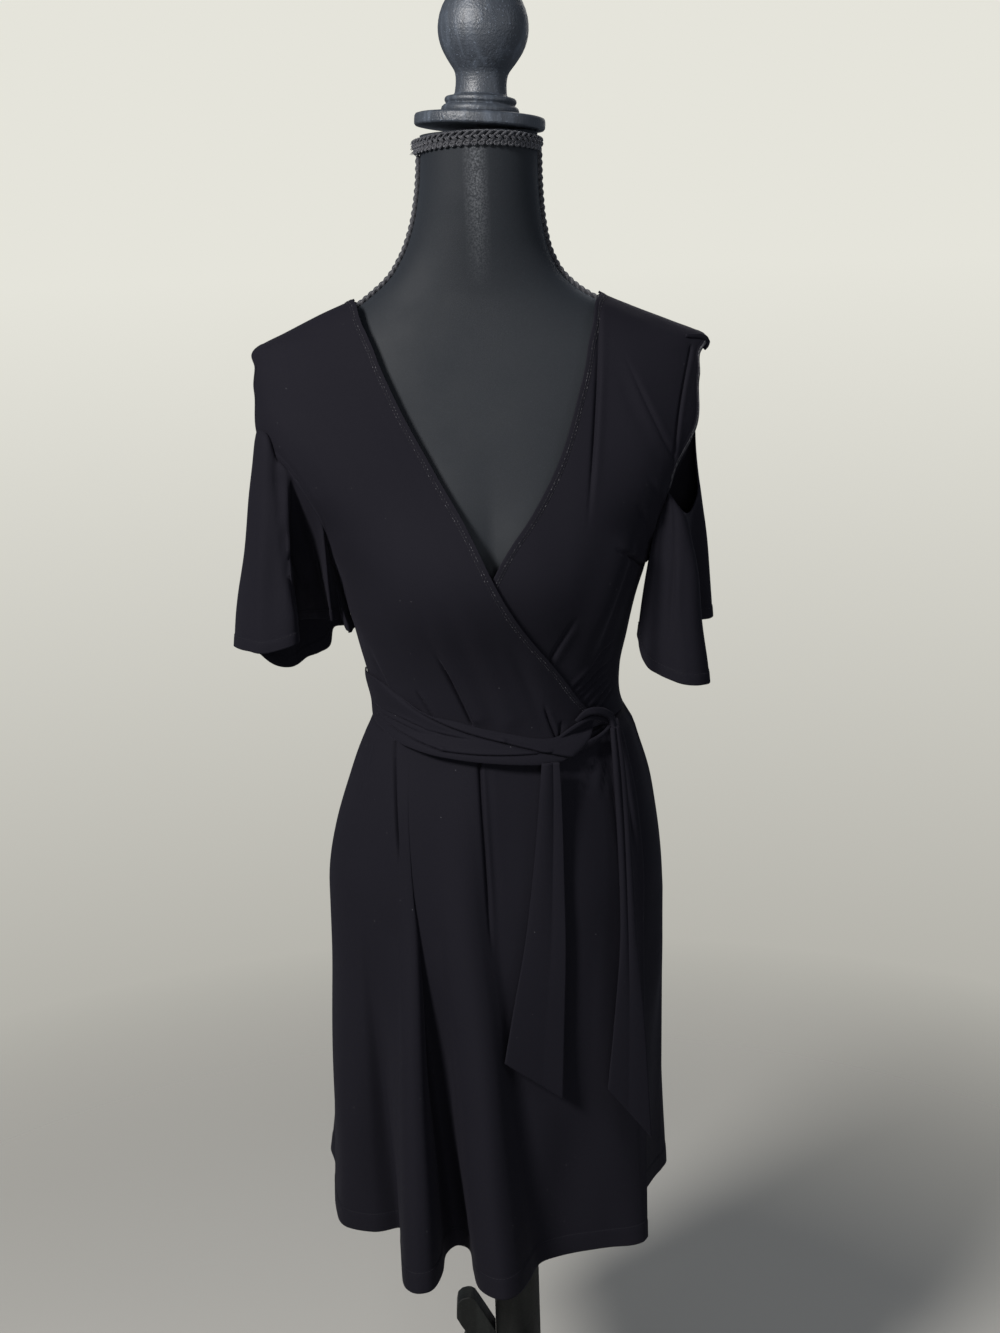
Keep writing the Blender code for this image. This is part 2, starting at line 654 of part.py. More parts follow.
def build_side_piping():
    """Braid down each side of the neck, from the neck braid to where the dress covers it."""
    start = NECK_TOP_Z - BRAID_SAG - BRAID_TILT - BRAID_HEIGHT - 0.0012
    end = NECK_POINT_Z + 0.004
    levels = form_levels()
    inside = levels[(levels > end + 0.002) & (levels < start - 0.002)]
    heights = np.concatenate([[end], inside, [start]])
    turn = np.linspace(0, 2 * math.pi, 8, endpoint=False)[None, :, None]
    for side, angle in (("left", math.pi), ("right", 0.0)):
        line = body_point(FORM, np.full(len(heights), angle), heights, False)
        along = np.gradient(line, axis=0)
        along /= np.linalg.norm(along, axis=-1, keepdims=True)
        across = np.array([0.0, 1.0, 0.0])
        out = np.cross(along, across)
        out *= np.sign(out[:, :1] * line[:, :1])
        middle = line + out * (PIPING_RADIUS + PIPING_STAND)
        rings = middle[:, None] + PIPING_RADIUS * (
            np.cos(turn) * out[:, None] + np.sin(turn) * across
        )
        solid_of_rings("side_piping_" + side, rings, "braid")


def build_cap():
    """Turned disc, stepped ring and ball on top of the neck, all leaning together."""
    pivot = bpy.data.objects.new("cap_pivot", None)
    pivot.location = (CAP_SHIFT, 0.0, DISC_Z)
    pivot.rotation_euler = (0.0, CAP_LEAN, 0.0)
    bpy.context.scene.collection.objects.link(pivot)
    for piece in (
        turned("neck_cap_disc", DISC, "painted_wood", steps=36),
        turned("neck_cap_ring", CAP_RING, "painted_wood", steps=24),
        turned("finial_ball", BALL, "painted_wood", steps=24, top=BALL_TOP),
    ):
        piece.parent = pivot


# ---------------------------------------------------------------- stand
def build_post():
    profile = (
        (0.0150, POST_FOOT_Z),
        (0.0215, POST_FOOT_Z + 0.004),
        (POST_RADIUS, POST_FOOT_Z + 0.012),
        (POST_RADIUS, FORM[0][0] - GAP),
    )
    turned("stand_post", profile, "painted_wood", steps=24)


def leg_outline(knee):
    """Side outline of one sawn leg: distance from the post's axis and height."""
    inner = POST_RADIUS + GAP
    run = np.linspace(0, 1, 8)[1:]
    outer_start = (0.060, knee - 0.058)
    outer = [
        (outer_start[0] + (LEG_REACH - outer_start[0]) * s, 0.015 + (outer_start[1] - 0.015) * (1 - s) ** 1.7)
        for s in run
    ]
    heel = LEG_REACH - FOOT_LENGTH
    back = [(inner + (heel - inner) * s, (knee - 0.118) * (1 - s) ** 1.7) for s in run[::-1]]
    return (
        [
            (inner, knee - 0.118),
            (inner, knee - 0.042),
            (0.046, knee - 0.003),
            (0.054, knee),
            (0.065, knee - 0.006),
            (0.067, knee - 0.026),
            (0.056, knee - 0.046),
            outer_start,
        ]
        + outer
        + [(LEG_REACH, 0.0)]
        + back
    )


def build_legs():
    for name, direction, knee in LEGS:
        out = math.radians(direction)
        shape = bmesh.new()
        side = [
            shape.verts.new((r * math.cos(out), r * math.sin(out), z)) for r, z in leg_outline(knee)
        ]
        face = shape.faces.new(side)
        thick = bmesh.ops.extrude_face_region(shape, geom=[face])
        moved = [item for item in thick["geom"] if isinstance(item, bmesh.types.BMVert)]
        across = (-math.sin(out) * LEG_THICKNESS, math.cos(out) * LEG_THICKNESS, 0.0)
        bmesh.ops.translate(shape, verts=moved, vec=across)
        bmesh.ops.translate(shape, verts=shape.verts[:], vec=[-0.5 * value for value in across])
        bmesh.ops.recalc_face_normals(shape, faces=shape.faces[:])
        mesh = bpy.data.meshes.new(name)
        shape.to_mesh(mesh)
        shape.free()
        add_object(name, mesh, "painted_wood")


# ---------------------------------------------------------------- bodice
def edge_line(rows, waist_x, count, end_angle):
    """A wrap edge as (angle, height) rows, from the waist to the neck point."""
    edge = columns(EDGE_COLUMNS, rows)
    waist_angle = front_angle(np.array([waist_x]), np.array([WAIST_Z]))
    angles = np.concatenate([waist_angle, front_angle(edge["x"], edge["height"]), [end_angle]])
    heights = np.concatenate([waist_height(waist_angle), edge["height"], [NECK_POINT_Z]])
    run = np.linspace(0, 1, len(heights))
    at = np.linspace(0, 1, count)
    return np.stack([curve(at, run, angles), curve(at, run, heights)], axis=-1)


def side_line(count, side, face):
    """Side seam and armhole edge as (angle, height) rows; face is -1 for front, +1 for back."""
    hole = columns(ARMHOLE_COLUMNS, ARMHOLE)
    height = np.linspace(WAIST_Z, SHOULDER_Z, count)
    swing = curve(height, hole["height"], hole[("front_" if face < 0 else "back_") + side])
    swing = np.where(height < UNDERARM_Z, 0.0, np.maximum(swing, 0.0)) + SEAM_SWING
    turn = np.radians(swing) * face
    if side == "left":
        return np.stack([math.pi - turn, height], axis=-1)
    return np.stack([(2 * math.pi if face < 0 else 0.0) + turn, height], axis=-1)


def garment_grid(plan, offset):
    """Points of a bodice piece: its (angle, height) plan on the garment, moved out."""
    base = body_point(GARMENT, plan[..., 0], plan[..., 1], True)
    return base + normals(base) * offset[..., None]


def seam_line(start, end, count):
    """Waist seam between two corners, as (angle, height) rows half a gap above the seam."""
    angle = np.linspace(start[0], end[0], count)
    return np.stack([angle, waist_height(angle) + WAIST_CLEAR], axis=-1)


def front_piece(name, edge_rows, waist_x, side, layer):
    """One bodice front, from its side seam to its wrap edge and up to the shoulder."""
    across, along = 18, 15
    seam = side_line(along, side, -1)
    edge = edge_line(edge_rows, waist_x, along, seam[-1, 0])
    seam[0, 1] += WAIST_CLEAR
    edge[0, 1] += WAIST_CLEAR
    t = np.linspace(0, 1, across)[:, None]
    top = seam[-1] * (1 - t) + edge[-1] * t
    plan = coons(seam_line(seam[0], edge[0], across), top, seam, edge)
    cloth(name, garment_grid(plan, layer * ramp(t + 0 * plan[..., 0], 0.0, 0.3)))


def build_fronts():
    front_piece("bodice_front_over", OVER_EDGE, OVER_WAIST_X, "left", LAYER)
    front_piece("bodice_front_under", UNDER_EDGE, UNDER_WAIST_X, "right", UNDER_LAYER)


def build_back():
    across, along = 21, 15
    left = side_line(along, "left", 1)
    right = side_line(along, "right", 1)
    left[0, 1] += WAIST_CLEAR
    right[0, 1] += WAIST_CLEAR
    t = np.linspace(0, 1, across)
    reach = np.array([0.0, SHOULDER_SHARE, 1 - SHOULDER_SHARE, 1.0])
    heights = np.interp(t, reach, [SHOULDER_Z, NECK_POINT_Z, NECK_POINT_Z, SHOULDER_Z])
    turns = np.interp(t, reach, [left[-1, 0], left[-1, 0], right[-1, 0], right[-1, 0]])
    across_neck = np.clip((t - SHOULDER_SHARE) / (1 - 2 * SHOULDER_SHARE), 0.0, 1.0)
    top = np.stack([turns, heights - NAPE_DIP * np.sin(math.pi * across_neck)], axis=-1)
    plan = coons(seam_line(left[0], right[0], across), top, left, right)
    cloth("bodice_back", garment_grid(plan, 0 * plan[..., 0]))


# ---------------------------------------------------------------- skirt
def soft_greater(a, b, softness):
    """The greater of two lengths, rounded where they are alike."""
    return 0.5 * (a + b + np.sqrt((a - b) ** 2 + softness**2))


def skirt_grid(rows, across, ease, start=0.0, end=1.0):
    """Each line of cloth is ruled from the waist seam to the folded hem and pushed out where
    the hips fill it; from the hips it hangs straight to the hem."""
    fold = columns(FOLD_COLUMNS, rows)
    run = np.linspace(0, 1, len(rows))
    at = np.linspace(start, end, across)
    waist_angle = np.radians(curve(at, run, fold["waist_angle"]))
    seam = waist_height(waist_angle)
    waist = body_point(GARMENT, waist_angle, seam, True)[:, None]
    hem_x = curve(at, run, fold["hem_x"])[:, None]
    hem_y = curve(at, run, fold["hem_y"])[:, None]
    top = (seam - WAIST_CLEAR)[:, None]
    hip_fall = (top - HIP_Z) / (top - HEM_Z)
    upper = hip_fall * np.linspace(0, 1, 5)[None, :]
    lower = hip_fall + (1 - hip_fall) * np.linspace(0, 1, 6)[None, 1:]
    fall = np.concatenate([upper, lower], axis=1)

    def over_hips(share):
        """Direction and distance from the axis of the ruled line, kept outside the hips."""
        x = waist[..., 0] * (1 - share) + hem_x * share
        y = waist[..., 1] * (1 - share) + hem_y * share
        turn = np.arctan2(y, x)
        body = section_radius(GARMENT, turn, top + (HEM_Z - top) * share)
        return turn, soft_greater(np.hypot(x, y), body, 0.006 * ramp(share, 0.0, 0.15))

    angle, close = over_hips(fall)
    hip = over_hips(hip_fall)[1]
    below = np.clip((fall - hip_fall) / (1 - hip_fall), 0.0, 1.0)
    hanging = hip * (1 - below) + np.hypot(hem_x, hem_y) * below
    out = np.where(below > 0, hanging, close) + ease * ramp(at, 0.0, 0.12)[:, None]
    height = top + (HEM_Z - top) * fall
    return np.stack([out * np.cos(angle), out * np.sin(angle), height], axis=-1)


def build_skirt():
    trim = SKIRT_TRIM
    cloth("skirt_front_over", skirt_grid(OVER_FOLDS, 60, LAYER, start=trim))
    cloth("skirt_front_under", skirt_grid(UNDER_FOLDS[::-1], 18, UNDER_LAYER, start=2 * trim))
    cloth("skirt_back", skirt_grid(BACK_FOLDS, 36, 0.0, start=trim, end=1 - trim))


# ---------------------------------------------------------------- sleeves
def armhole_point(side, face, height):
    """A point of the armhole's edge, a little outside it; face is -1 front, +1 back."""
    hole = columns(ARMHOLE_COLUMNS, ARMHOLE)
    swing = np.where(
        face < 0,
        curve(height, hole["height"], hole["front_" + side]),
        curve(height, hole["height"], hole["back_" + side]),
    )
    turn = np.radians(np.maximum(swing, 0.0)) * face
    angle = math.pi - turn if side == "left" else turn
    point = body_point(GARMENT, angle, height, True)
    sign = -1.0 if side == "left" else 1.0
    point[..., 0] += sign * SLEEVE_LIFT
    return point


def sleeve_top(side, ring):
    """Upper line of a sleeve: round the lower armhole, then the free edge that hangs open."""
    share = np.clip(ring / SLEEVE_ATTACHED, 0.0, 1.0)
    face = np.where(share < 0.5, -1.0, 1.0)
    rise = np.abs(2 * share - 1) ** SLEEVE_RISE[side]
    notch = np.where(face < 0, FRONT_NOTCH_Z[side], BACK_NOTCH_Z[side])
    sewn = armhole_point(side, face, UNDERARM_Z + (notch - UNDERARM_Z) * rise)
    start = armhole_point(side, np.array([1.0]), np.array([BACK_NOTCH_Z[side]]))
    end = armhole_point(side, np.array([-1.0]), np.array([FRONT_NOTCH_Z[side]]))
    loose = columns(FREE_EDGE_COLUMNS, FREE_EDGES[side])
    knots = np.concatenate([[0.0], loose["share"], [1.0]])
    s = np.clip((ring - SLEEVE_ATTACHED) / (1 - SLEEVE_ATTACHED), 0.0, 1.0)
    free = [
        curve(s, knots, np.concatenate([start[:, k], loose[axis], end[:, k]]))
        for k, axis in enumerate(("x", "y", "z"))
    ]
    return np.where((ring > SLEEVE_ATTACHED)[:, None], np.stack(free, axis=-1), sewn)


def build_sleeve(name, side, rows, around, along):
    """Ruled from the upper line to the running mean of the hem, with the hem's folds on it."""
    hem = columns(SLEEVE_COLUMNS, rows)
    ring = np.linspace(0, 1, around, endpoint=False)
    knots = np.concatenate([hem["ring"][-2:] - 1, hem["ring"], hem["ring"][:2] + 1])
    low = np.stack(
        [
            curve(ring, knots, np.concatenate([hem[axis][-2:], hem[axis], hem[axis][:2]]))
            for axis in ("hem_x", "hem_y", "hem_z")
        ],
        axis=-1,
    )
    shifts = range(-SLEEVE_MEAN, SLEEVE_MEAN + 1)
    mean = np.mean([np.roll(low, shift, axis=0) for shift in shifts], axis=0)
    high = sleeve_top(side, ring)
    t = np.linspace(0, 1, along)[None, :, None]
    ruled = high[:, None] * (1 - t) + mean[:, None] * t
    cloth(name, ruled + (low - mean)[:, None] * t**SLEEVE_FOLD_GROWTH, closed=True)


def build_sleeves():
    build_sleeve("sleeve_left", "left", LEFT_SLEEVE, 48, 7)
    build_sleeve("sleeve_right", "right", RIGHT_SLEEVE, 48, 7)


# ---------------------------------------------------------------- tie
def build_tie_front():
    """The tie crosses the front in soft lengthwise folds and climbs to the knot."""
    across, along = 28, 10
    tie = columns(TIE_COLUMNS, TIE)
    run = np.linspace(0, 1, len(TIE))
    at = np.linspace(0, 1, across)
    angle = np.radians(curve(at, run, tie["angle"]))[:, None]
    middle = curve(at, run, tie["height"])[:, None]
    width = curve(at, run, tie["width"])[:, None]
    v = np.linspace(0, 1, along)[None, :]
    height = middle + (v - 0.5) * width
    wide = angle + 0 * v
    base = body_point(GARMENT, wide, height, True)
    fold = TIE_FOLD * np.cos(2 * math.pi * TIE_FOLDS * v)
    below = 0.22 * np.maximum(WAIST_Z - height, 0.0)
    off = TIE_START_OFFSET + (TIE_OFFSET - TIE_START_OFFSET) * ramp(at, 0.0, 0.2)[:, None]
    out = off + fold + below
    cloth("tie_front", base + normals(base) * out[..., None], thickness=0.0018)


def ribbon(name, rows, cut, across, along, crease):
    """A hanging end: a flat ribbon folded along its middle, cut slanting at the bottom."""
    path = columns(TAIL_COLUMNS, rows)
    drop = path["height"][0] - path["height"]
    at = np.linspace(0, drop[-1], along)
    read = {key: curve(at, drop, path[key]) for key in TAIL_COLUMNS}
    s = np.linspace(-0.5, 0.5, across)[:, None]
    turn = np.radians(read["turn"])[None, :]
    width = read["width"][None, :]
    bend = crease * (0.5 - 2 * np.abs(s)) * width
    x = read["x"] + s * width * np.cos(turn) + bend * np.sin(turn)
    y = read["y"] + s * width * np.sin(turn) - bend * np.cos(turn)
    z = read["height"] + s * cut * read["slope"]
    cloth(name, np.stack([x, y, z + 0 * x], axis=-1), thickness=0.0018)


def build_knot():
    """The rounded band of the knot, swept along its short arch."""
    path = columns(KNOT_COLUMNS, KNOT)
    run = np.linspace(0, 1, len(KNOT))
    at = np.linspace(0, 1, 12)
    read = {key: curve(at, run, path[key]) for key in KNOT_COLUMNS}
    middle = body_point(GARMENT, np.radians(read["angle"]), read["height"], True)
    out = middle * np.array([1.0, 1.0, 0.0])
    out /= np.linalg.norm(out, axis=-1, keepdims=True)
    middle = middle + out * read["offset"][:, None]
    along = np.gradient(middle, axis=0)
    along /= np.linalg.norm(along, axis=-1, keepdims=True)
    out -= along * np.sum(out * along, axis=-1, keepdims=True)
    out /= np.linalg.norm(out, axis=-1, keepdims=True)
    side = np.cross(along, out)
    turn = np.linspace(0, 2 * math.pi, 12, endpoint=False)[None, :, None]
    rings = (
        middle[:, None]
        + side[:, None] * np.cos(turn) * read["width"][:, None, None] / 2
        + out[:, None] * np.sin(turn) * read["thickness"][:, None, None] / 2
    )
    solid_of_rings("tie_knot", rings, "jersey")


def build_tie():
    build_tie_front()
    build_knot()
    ribbon("tie_tail_front", FRONT_TAIL, FRONT_TAIL_CUT, 7, 13, 0.16)
    ribbon("tie_tail_side", SIDE_TAIL, SIDE_TAIL_CUT, 7, 13, 0.30)


def move_to_origin():
    for item in bpy.context.scene.objects:
        if item.parent is None:
            item.location.x += AXIS_X


clear_scene()
build_form()
build_braid()
build_side_piping()
build_cap()
build_post()
build_legs()
build_fronts()
build_back()
build_skirt()
build_sleeves()
build_tie()
move_to_origin()
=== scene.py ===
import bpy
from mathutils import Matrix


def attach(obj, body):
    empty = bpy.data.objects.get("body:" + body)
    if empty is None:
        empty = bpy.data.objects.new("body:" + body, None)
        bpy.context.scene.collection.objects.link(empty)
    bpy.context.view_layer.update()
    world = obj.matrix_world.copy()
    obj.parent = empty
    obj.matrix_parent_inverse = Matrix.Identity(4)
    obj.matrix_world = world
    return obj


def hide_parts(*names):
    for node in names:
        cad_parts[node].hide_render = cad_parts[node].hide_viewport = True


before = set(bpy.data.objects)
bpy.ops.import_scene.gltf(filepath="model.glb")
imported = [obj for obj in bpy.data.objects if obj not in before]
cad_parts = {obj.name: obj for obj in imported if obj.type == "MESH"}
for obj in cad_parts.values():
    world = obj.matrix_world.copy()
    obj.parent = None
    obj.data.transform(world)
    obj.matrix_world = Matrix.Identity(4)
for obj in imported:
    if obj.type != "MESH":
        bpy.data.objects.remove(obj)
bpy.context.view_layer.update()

import math

import bpy
import numpy as np
from mathutils import Matrix

# ==== Dress form ==========================================================================
# A limbless torso of hard foam, turned out as one smooth hull, under a tight cover of dark
# stretch jersey. A speckled pale streak down the middle of the neck is a painted highlight.
# Every shape is worked out round the stand's post and moved sideways with it as a mesh.
POST_X = 0.0175
SECTION = ("height", "left", "right", "front", "back", "squareness")
NECK_TOP = 1.5228
FORM = (
    (0.655, 0.1440, 0.1440, 0.0860, 0.0950, 2.20),
    (0.700, 0.1530, 0.1530, 0.0950, 0.1070, 2.20),
    (0.780, 0.1570, 0.1570, 0.1060, 0.1170, 2.20),
    (0.820, 0.1540, 0.1540, 0.1060, 0.1150, 2.20),
    (0.870, 0.1470, 0.1470, 0.1030, 0.1060, 2.15),
    (0.914, 0.1380, 0.1380, 0.0985, 0.0930, 2.10),
    (0.945, 0.1290, 0.1290, 0.0935, 0.0820, 2.10),
    (0.980, 0.1175, 0.1175, 0.0895, 0.0710, 2.10),
    (1.020, 0.1175, 0.1175, 0.0905, 0.0730, 2.15),
    (1.055, 0.1240, 0.1240, 0.0945, 0.0780, 2.20),
    (1.090, 0.1320, 0.1320, 0.0985, 0.0830, 2.30),
    (1.130, 0.1410, 0.1410, 0.1000, 0.0890, 2.40),
    (1.170, 0.1480, 0.1480, 0.0985, 0.0940, 2.50),
    (1.210, 0.1550, 0.1550, 0.0925, 0.0970, 2.60),
    (1.250, 0.1640, 0.1640, 0.0825, 0.0960, 2.70),
    (1.290, 0.1760, 0.1760, 0.0705, 0.0910, 2.70),
    (1.318, 0.1840, 0.1840, 0.0605, 0.0835, 2.60),
    (1.330, 0.1810, 0.1810, 0.0560, 0.0790, 2.50),
    (1.342, 0.1650, 0.1600, 0.0520, 0.0750, 2.40),
    (1.356, 0.1420, 0.1340, 0.0485, 0.0710, 2.30),
    (1.368, 0.1235, 0.1125, 0.0465, 0.0680, 2.20),
    (1.380, 0.1065, 0.0920, 0.0455, 0.0660, 2.10),
    (1.395, 0.0885, 0.0750, 0.0460, 0.0640, 2.05),
    (1.414, 0.0750, 0.0638, 0.0480, 0.0620, 2.00),
    (1.440, 0.0638, 0.0572, 0.0515, 0.0600, 2.00),
    (1.467, 0.0575, 0.0546, 0.0545, 0.0585, 2.00),
    (1.500, 0.0540, 0.0540, 0.0555, 0.0565, 2.00),
    (NECK_TOP, 0.0535, 0.0545, 0.0555, 0.0555, 2.00),
)
BUST = {"depth": 0.024, "x": 0.068, "z": 1.125, "spread": 0.043}
FORM_RINGS, FORM_STEPS = 150, 128
# Painted highlight: where a pale speckled streak of colour runs down the front middle of the neck.
NECK_HIGHLIGHT_STREAK = {"x": -0.0030, "half_width": 0.0125, "low": 1.385, "full": 1.475}


def columns(names, rows):
    """A table as one array for each named column."""
    return {name: np.array(values) for name, values in zip(names, zip(*rows))}


def curve(at, knots, values):
    """Cubic pieces through the knots, whose slopes come from the neighbouring knots."""
    slopes = np.gradient(values, knots)
    at = np.clip(at, knots[0], knots[-1])
    i = np.clip(np.searchsorted(knots, at, side="right") - 1, 0, len(knots) - 2)
    step = knots[i + 1] - knots[i]
    t = (at - knots[i]) / step
    start = (1 + 2 * t) * (1 - t) ** 2 * values[i] + t * (1 - t) ** 2 * step * slopes[i]
    end = t * t * (3 - 2 * t) * values[i + 1] + t * t * (t - 1) * step * slopes[i + 1]
    return start + end


def ramp(value, low, high):
    """0 below low, 1 above high, and 3t² − 2t³ between them."""
    t = np.clip((value - low) / (high - low), 0.0, 1.0)
    return t * t * (3 - 2 * t)


def section_sizes(table, angle, height):
    """Half width, half depth and squareness of the section on the side that the angle faces."""
    size = columns(SECTION, table)
    read = {name: curve(height, size["height"], size[name]) for name in SECTION[1:]}
    half = np.where(np.cos(angle) > 0, read["right"], read["left"])
    deep = np.where(np.sin(angle) > 0, read["back"], read["front"])
    return half, deep, read["squareness"]


def section_radius(table, angle, height):
    """Distance from the axis of a superellipse: |cos/half|ᵖ + |sin/deep|ᵖ to the power −1/p."""
    half, deep, power = section_sizes(table, angle, height)
    total = np.abs(np.cos(angle) / half) ** power + np.abs(np.sin(angle) / deep) ** power
    return total ** (-1.0 / power)


def body_point(table, angle, height, spanned):
    """Section point at (angle, height), pushed forwards by two bell-shaped bust volumes; where
    cloth spans them, the hollow between is bridged at the full depth of the bells."""
    radius = section_radius(table, angle, height)
    x, y = radius * np.cos(angle), radius * np.sin(angle)
    aside = np.abs(x) - BUST["x"]
    aside = np.maximum(aside, 0.0) if spanned else aside
    off = aside**2 + (height - BUST["z"]) ** 2
    swell = BUST["depth"] * np.exp(-off / (2 * BUST["spread"] ** 2))
    y = y - swell * np.clip(-np.sin(angle), 0.0, 1.0) ** 0.7
    return np.stack([x, y, height * np.ones_like(x)], axis=-1)


def unit(vectors):
    """Vectors over their own lengths; a zero vector stays zero."""
    return vectors / np.maximum(np.linalg.norm(vectors, axis=-1, keepdims=True), 1e-12)


def run_along(points):
    """Distance run from the first point, down a line of points or down each column of a grid."""
    run = np.zeros(points.shape[:-1])
    run[1:] = np.cumsum(np.linalg.norm(np.diff(points, axis=0), axis=-1), axis=0)
    return run


def placed(name, data):
    """A new object of a mesh, a light or a camera, in the scene."""
    piece = bpy.data.objects.new(name, data)
    bpy.context.scene.collection.objects.link(piece)
    return piece


def surface(name, points, faces, uv, finish):
    """A smooth mesh of points round the post's axis, with a UV map in metres and one finish."""
    mesh = bpy.data.meshes.new(name)
    mesh.from_pydata((points + [POST_X, 0.0, 0.0]).tolist(), [], faces)
    mesh.uv_layers.new(name="metres").data.foreach_set("uv", uv.ravel())
    mesh.materials.append(finish)
    mesh.shade_smooth()
    return placed(name, mesh)


def grid_piece(name, grid, finish, around=False, ends=False):
    """A mesh on a grid of points, its quads between neighbours in both directions, wrapped round
    its first direction and capped at both ends where asked. Its UV map is the distance run along
    each row and each column, in metres, from the middle."""
    rows = np.concatenate([grid, grid[:1]]) if around else grid
    number = np.arange(grid.shape[0] * grid.shape[1]).reshape(grid.shape[:2])
    number = np.concatenate([number, number[:1]]) if around else number
    corners = ((slice(None, -1), slice(None, -1)), (slice(1, None), slice(None, -1)),
               (slice(1, None), slice(1, None)), (slice(None, -1), slice(1, None)))
    quads = np.stack([number[c] for c in corners], axis=-1).reshape(-1, 4)
    u, v = run_along(rows), run_along(rows.swapaxes(0, 1)).T
    both = np.stack([u - u[len(u) // 2], v], axis=-1)
    uv = np.stack([both[c] for c in corners], axis=-2).reshape(-1, 2)
    faces = quads.tolist()
    if ends:
        faces += [number[:-1, 0][::-1].tolist(), number[:-1, -1].tolist()]
        uv = np.concatenate([uv, np.zeros((2 * (len(number) - 1), 2))])
    return surface(name, grid.reshape(-1, 3), faces, uv, finish)


def shown_as(piece, slot, *nodes):
    """The piece rides on the fixed frame and stands for nodes; the slot is not used."""
    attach(piece, "root")
    if nodes:
        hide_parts(*nodes)
    return piece


def closed_piece(name, grid, finish, slot, *nodes):
    """A grid wrapped round its first direction and capped at both ends, as one closed piece."""
    return shown_as(grid_piece(name, grid, finish, around=True, ends=True), slot, *nodes)


def new_finish(name, **sockets):
    """A material whose shader has these constant values; returns it, its tree and its shader."""
    finish = bpy.data.materials.new(name)
    finish.use_nodes = True
    shader = finish.node_tree.nodes["Principled BSDF"]
    for key, value in sockets.items():
        shader.inputs[key.replace("_", " ")].default_value = value
    return finish, finish.node_tree, shader


def add(tree, kind, inputs=None, out=0, **settings):
    """Adds a shader node and returns one of its outputs; an input is a number or an output."""
    made = tree.nodes.new("ShaderNode" + kind)
    for key, value in settings.items():
        setattr(made, key, value)
    for key, value in (inputs or {}).items():
        if isinstance(value, bpy.types.NodeSocket):
            tree.links.new(value, made.inputs[key])
        else:
            made.inputs[key].default_value = value
    return made.outputs[out]


def noise(tree, place, scale, detail, distortion=0.0):
    """A cloudy value with so many clouds to the metre and so much fine detail in them."""
    look = {"Vector": place, "Scale": scale, "Detail": detail, "Distortion": distortion}
    return add(tree, "TexNoise", look)


def maths(tree, operation, first, second=0.5):
    """Two values added, multiplied or compared."""
    return add(tree, "Math", {0: first, 1: second}, operation=operation)


def remap(tree, value, low, high, to_low=0.0, to_high=1.0):
    """A value carried from one range to another and held inside it."""
    span = {"Value": value, "From Min": low, "From Max": high, "To Min": to_low, "To Max": to_high}
    return add(tree, "MapRange", span)


def blend_colours(tree, factor, first, second):
    """A colour that goes from the first to the second with the factor."""
    return add(tree, "Mix", {0: factor, 6: first, 7: second}, out=2, data_type="RGBA")


def feed(tree, shader, base, rough=None, relief=None, distance=0.0, strength=0.0):
    """Gives a shader its colour and, where given, its roughness and a fine relief, whose height
    is in metres at full strength."""
    tree.links.new(base, shader.inputs["Base Color"])
    if rough is not None:
        tree.links.new(rough, shader.inputs["Roughness"])
    if relief is not None:
        made = add(tree, "Bump", {"Height": relief, "Distance": distance, "Strength": strength})
        tree.links.new(made, shader.inputs["Normal"])


def form_finish():
    """Brushed dark jersey: cloudy slate colour, fine fuzz, and a speckled painted highlight down
    the neck.
    """
    finish, tree, shader = new_finish(
        "form cover", Sheen_Weight=0.04, Sheen_Roughness=0.5, Sheen_Tint=(0.55, 0.66, 0.82, 1.0),
        Specular_IOR_Level=0.22)
    place = add(tree, "TexCoord", out=3)
    cloud, fuzz = noise(tree, place, 14.0, 5.0), noise(tree, place, 1500.0, 2.0)
    speck = noise(tree, place, 620.0, 3.0)
    axes = tree.nodes.new("ShaderNodeSeparateXYZ")
    tree.links.new(place, axes.inputs[0])
    # Painted highlight: a pale speckled streak down the front middle of the neck, masked by width,
    # height, front and specks.
    aside = maths(tree, "SUBTRACT", axes.outputs[0], NECK_HIGHLIGHT_STREAK["x"] + POST_X)
    aside = maths(tree, "ABSOLUTE", aside)
    wide = remap(tree, aside, NECK_HIGHLIGHT_STREAK["half_width"], 0.0)
    low = remap(tree, axes.outputs[2], NECK_HIGHLIGHT_STREAK["low"], NECK_HIGHLIGHT_STREAK["full"])
    front = remap(tree, axes.outputs[1], -0.030, -0.045)
    spotted = remap(tree, speck, 0.40, 0.66, 0.12, 1.0)
    neck_highlight = maths(tree, "MULTIPLY", wide, low)
    for share in (front, spotted):
        neck_highlight = maths(tree, "MULTIPLY", neck_highlight, share)
    base = blend_colours(tree, cloud, (0.0056, 0.0070, 0.0094, 1), (0.0100, 0.0119, 0.0148, 1))
    fuzzy = remap(tree, fuzz, 0.45, 0.75, 0.0, 0.35)
    base = blend_colours(tree, fuzzy, base, (0.022, 0.026, 0.031, 1))
    # The painted highlight lightens the cover's colour along the neck streak.
    base = blend_colours(tree, neck_highlight, base, (0.075, 0.079, 0.085, 1))
    feed(tree, shader, base, remap(tree, cloud, 0.3, 0.7, 0.62, 0.78), fuzz, 0.00025, 0.45)
    return finish


def build_form():
    """The superellipse sections as rings from the hips to the top of the neck."""
    rows = np.linspace(0, 1, len(FORM))
    levels = np.interp(np.linspace(0, 1, FORM_RINGS), rows, columns(SECTION, FORM)["height"])
    angle = np.linspace(0, 2 * math.pi, FORM_STEPS, endpoint=False)
    angle, levels = np.meshgrid(angle, levels, indexing="ij")
    grid = body_point(FORM, angle, levels, False)
    closed_piece("form_cover_torso", grid, form_finish(), "form_cover", "form_torso")


build_form()

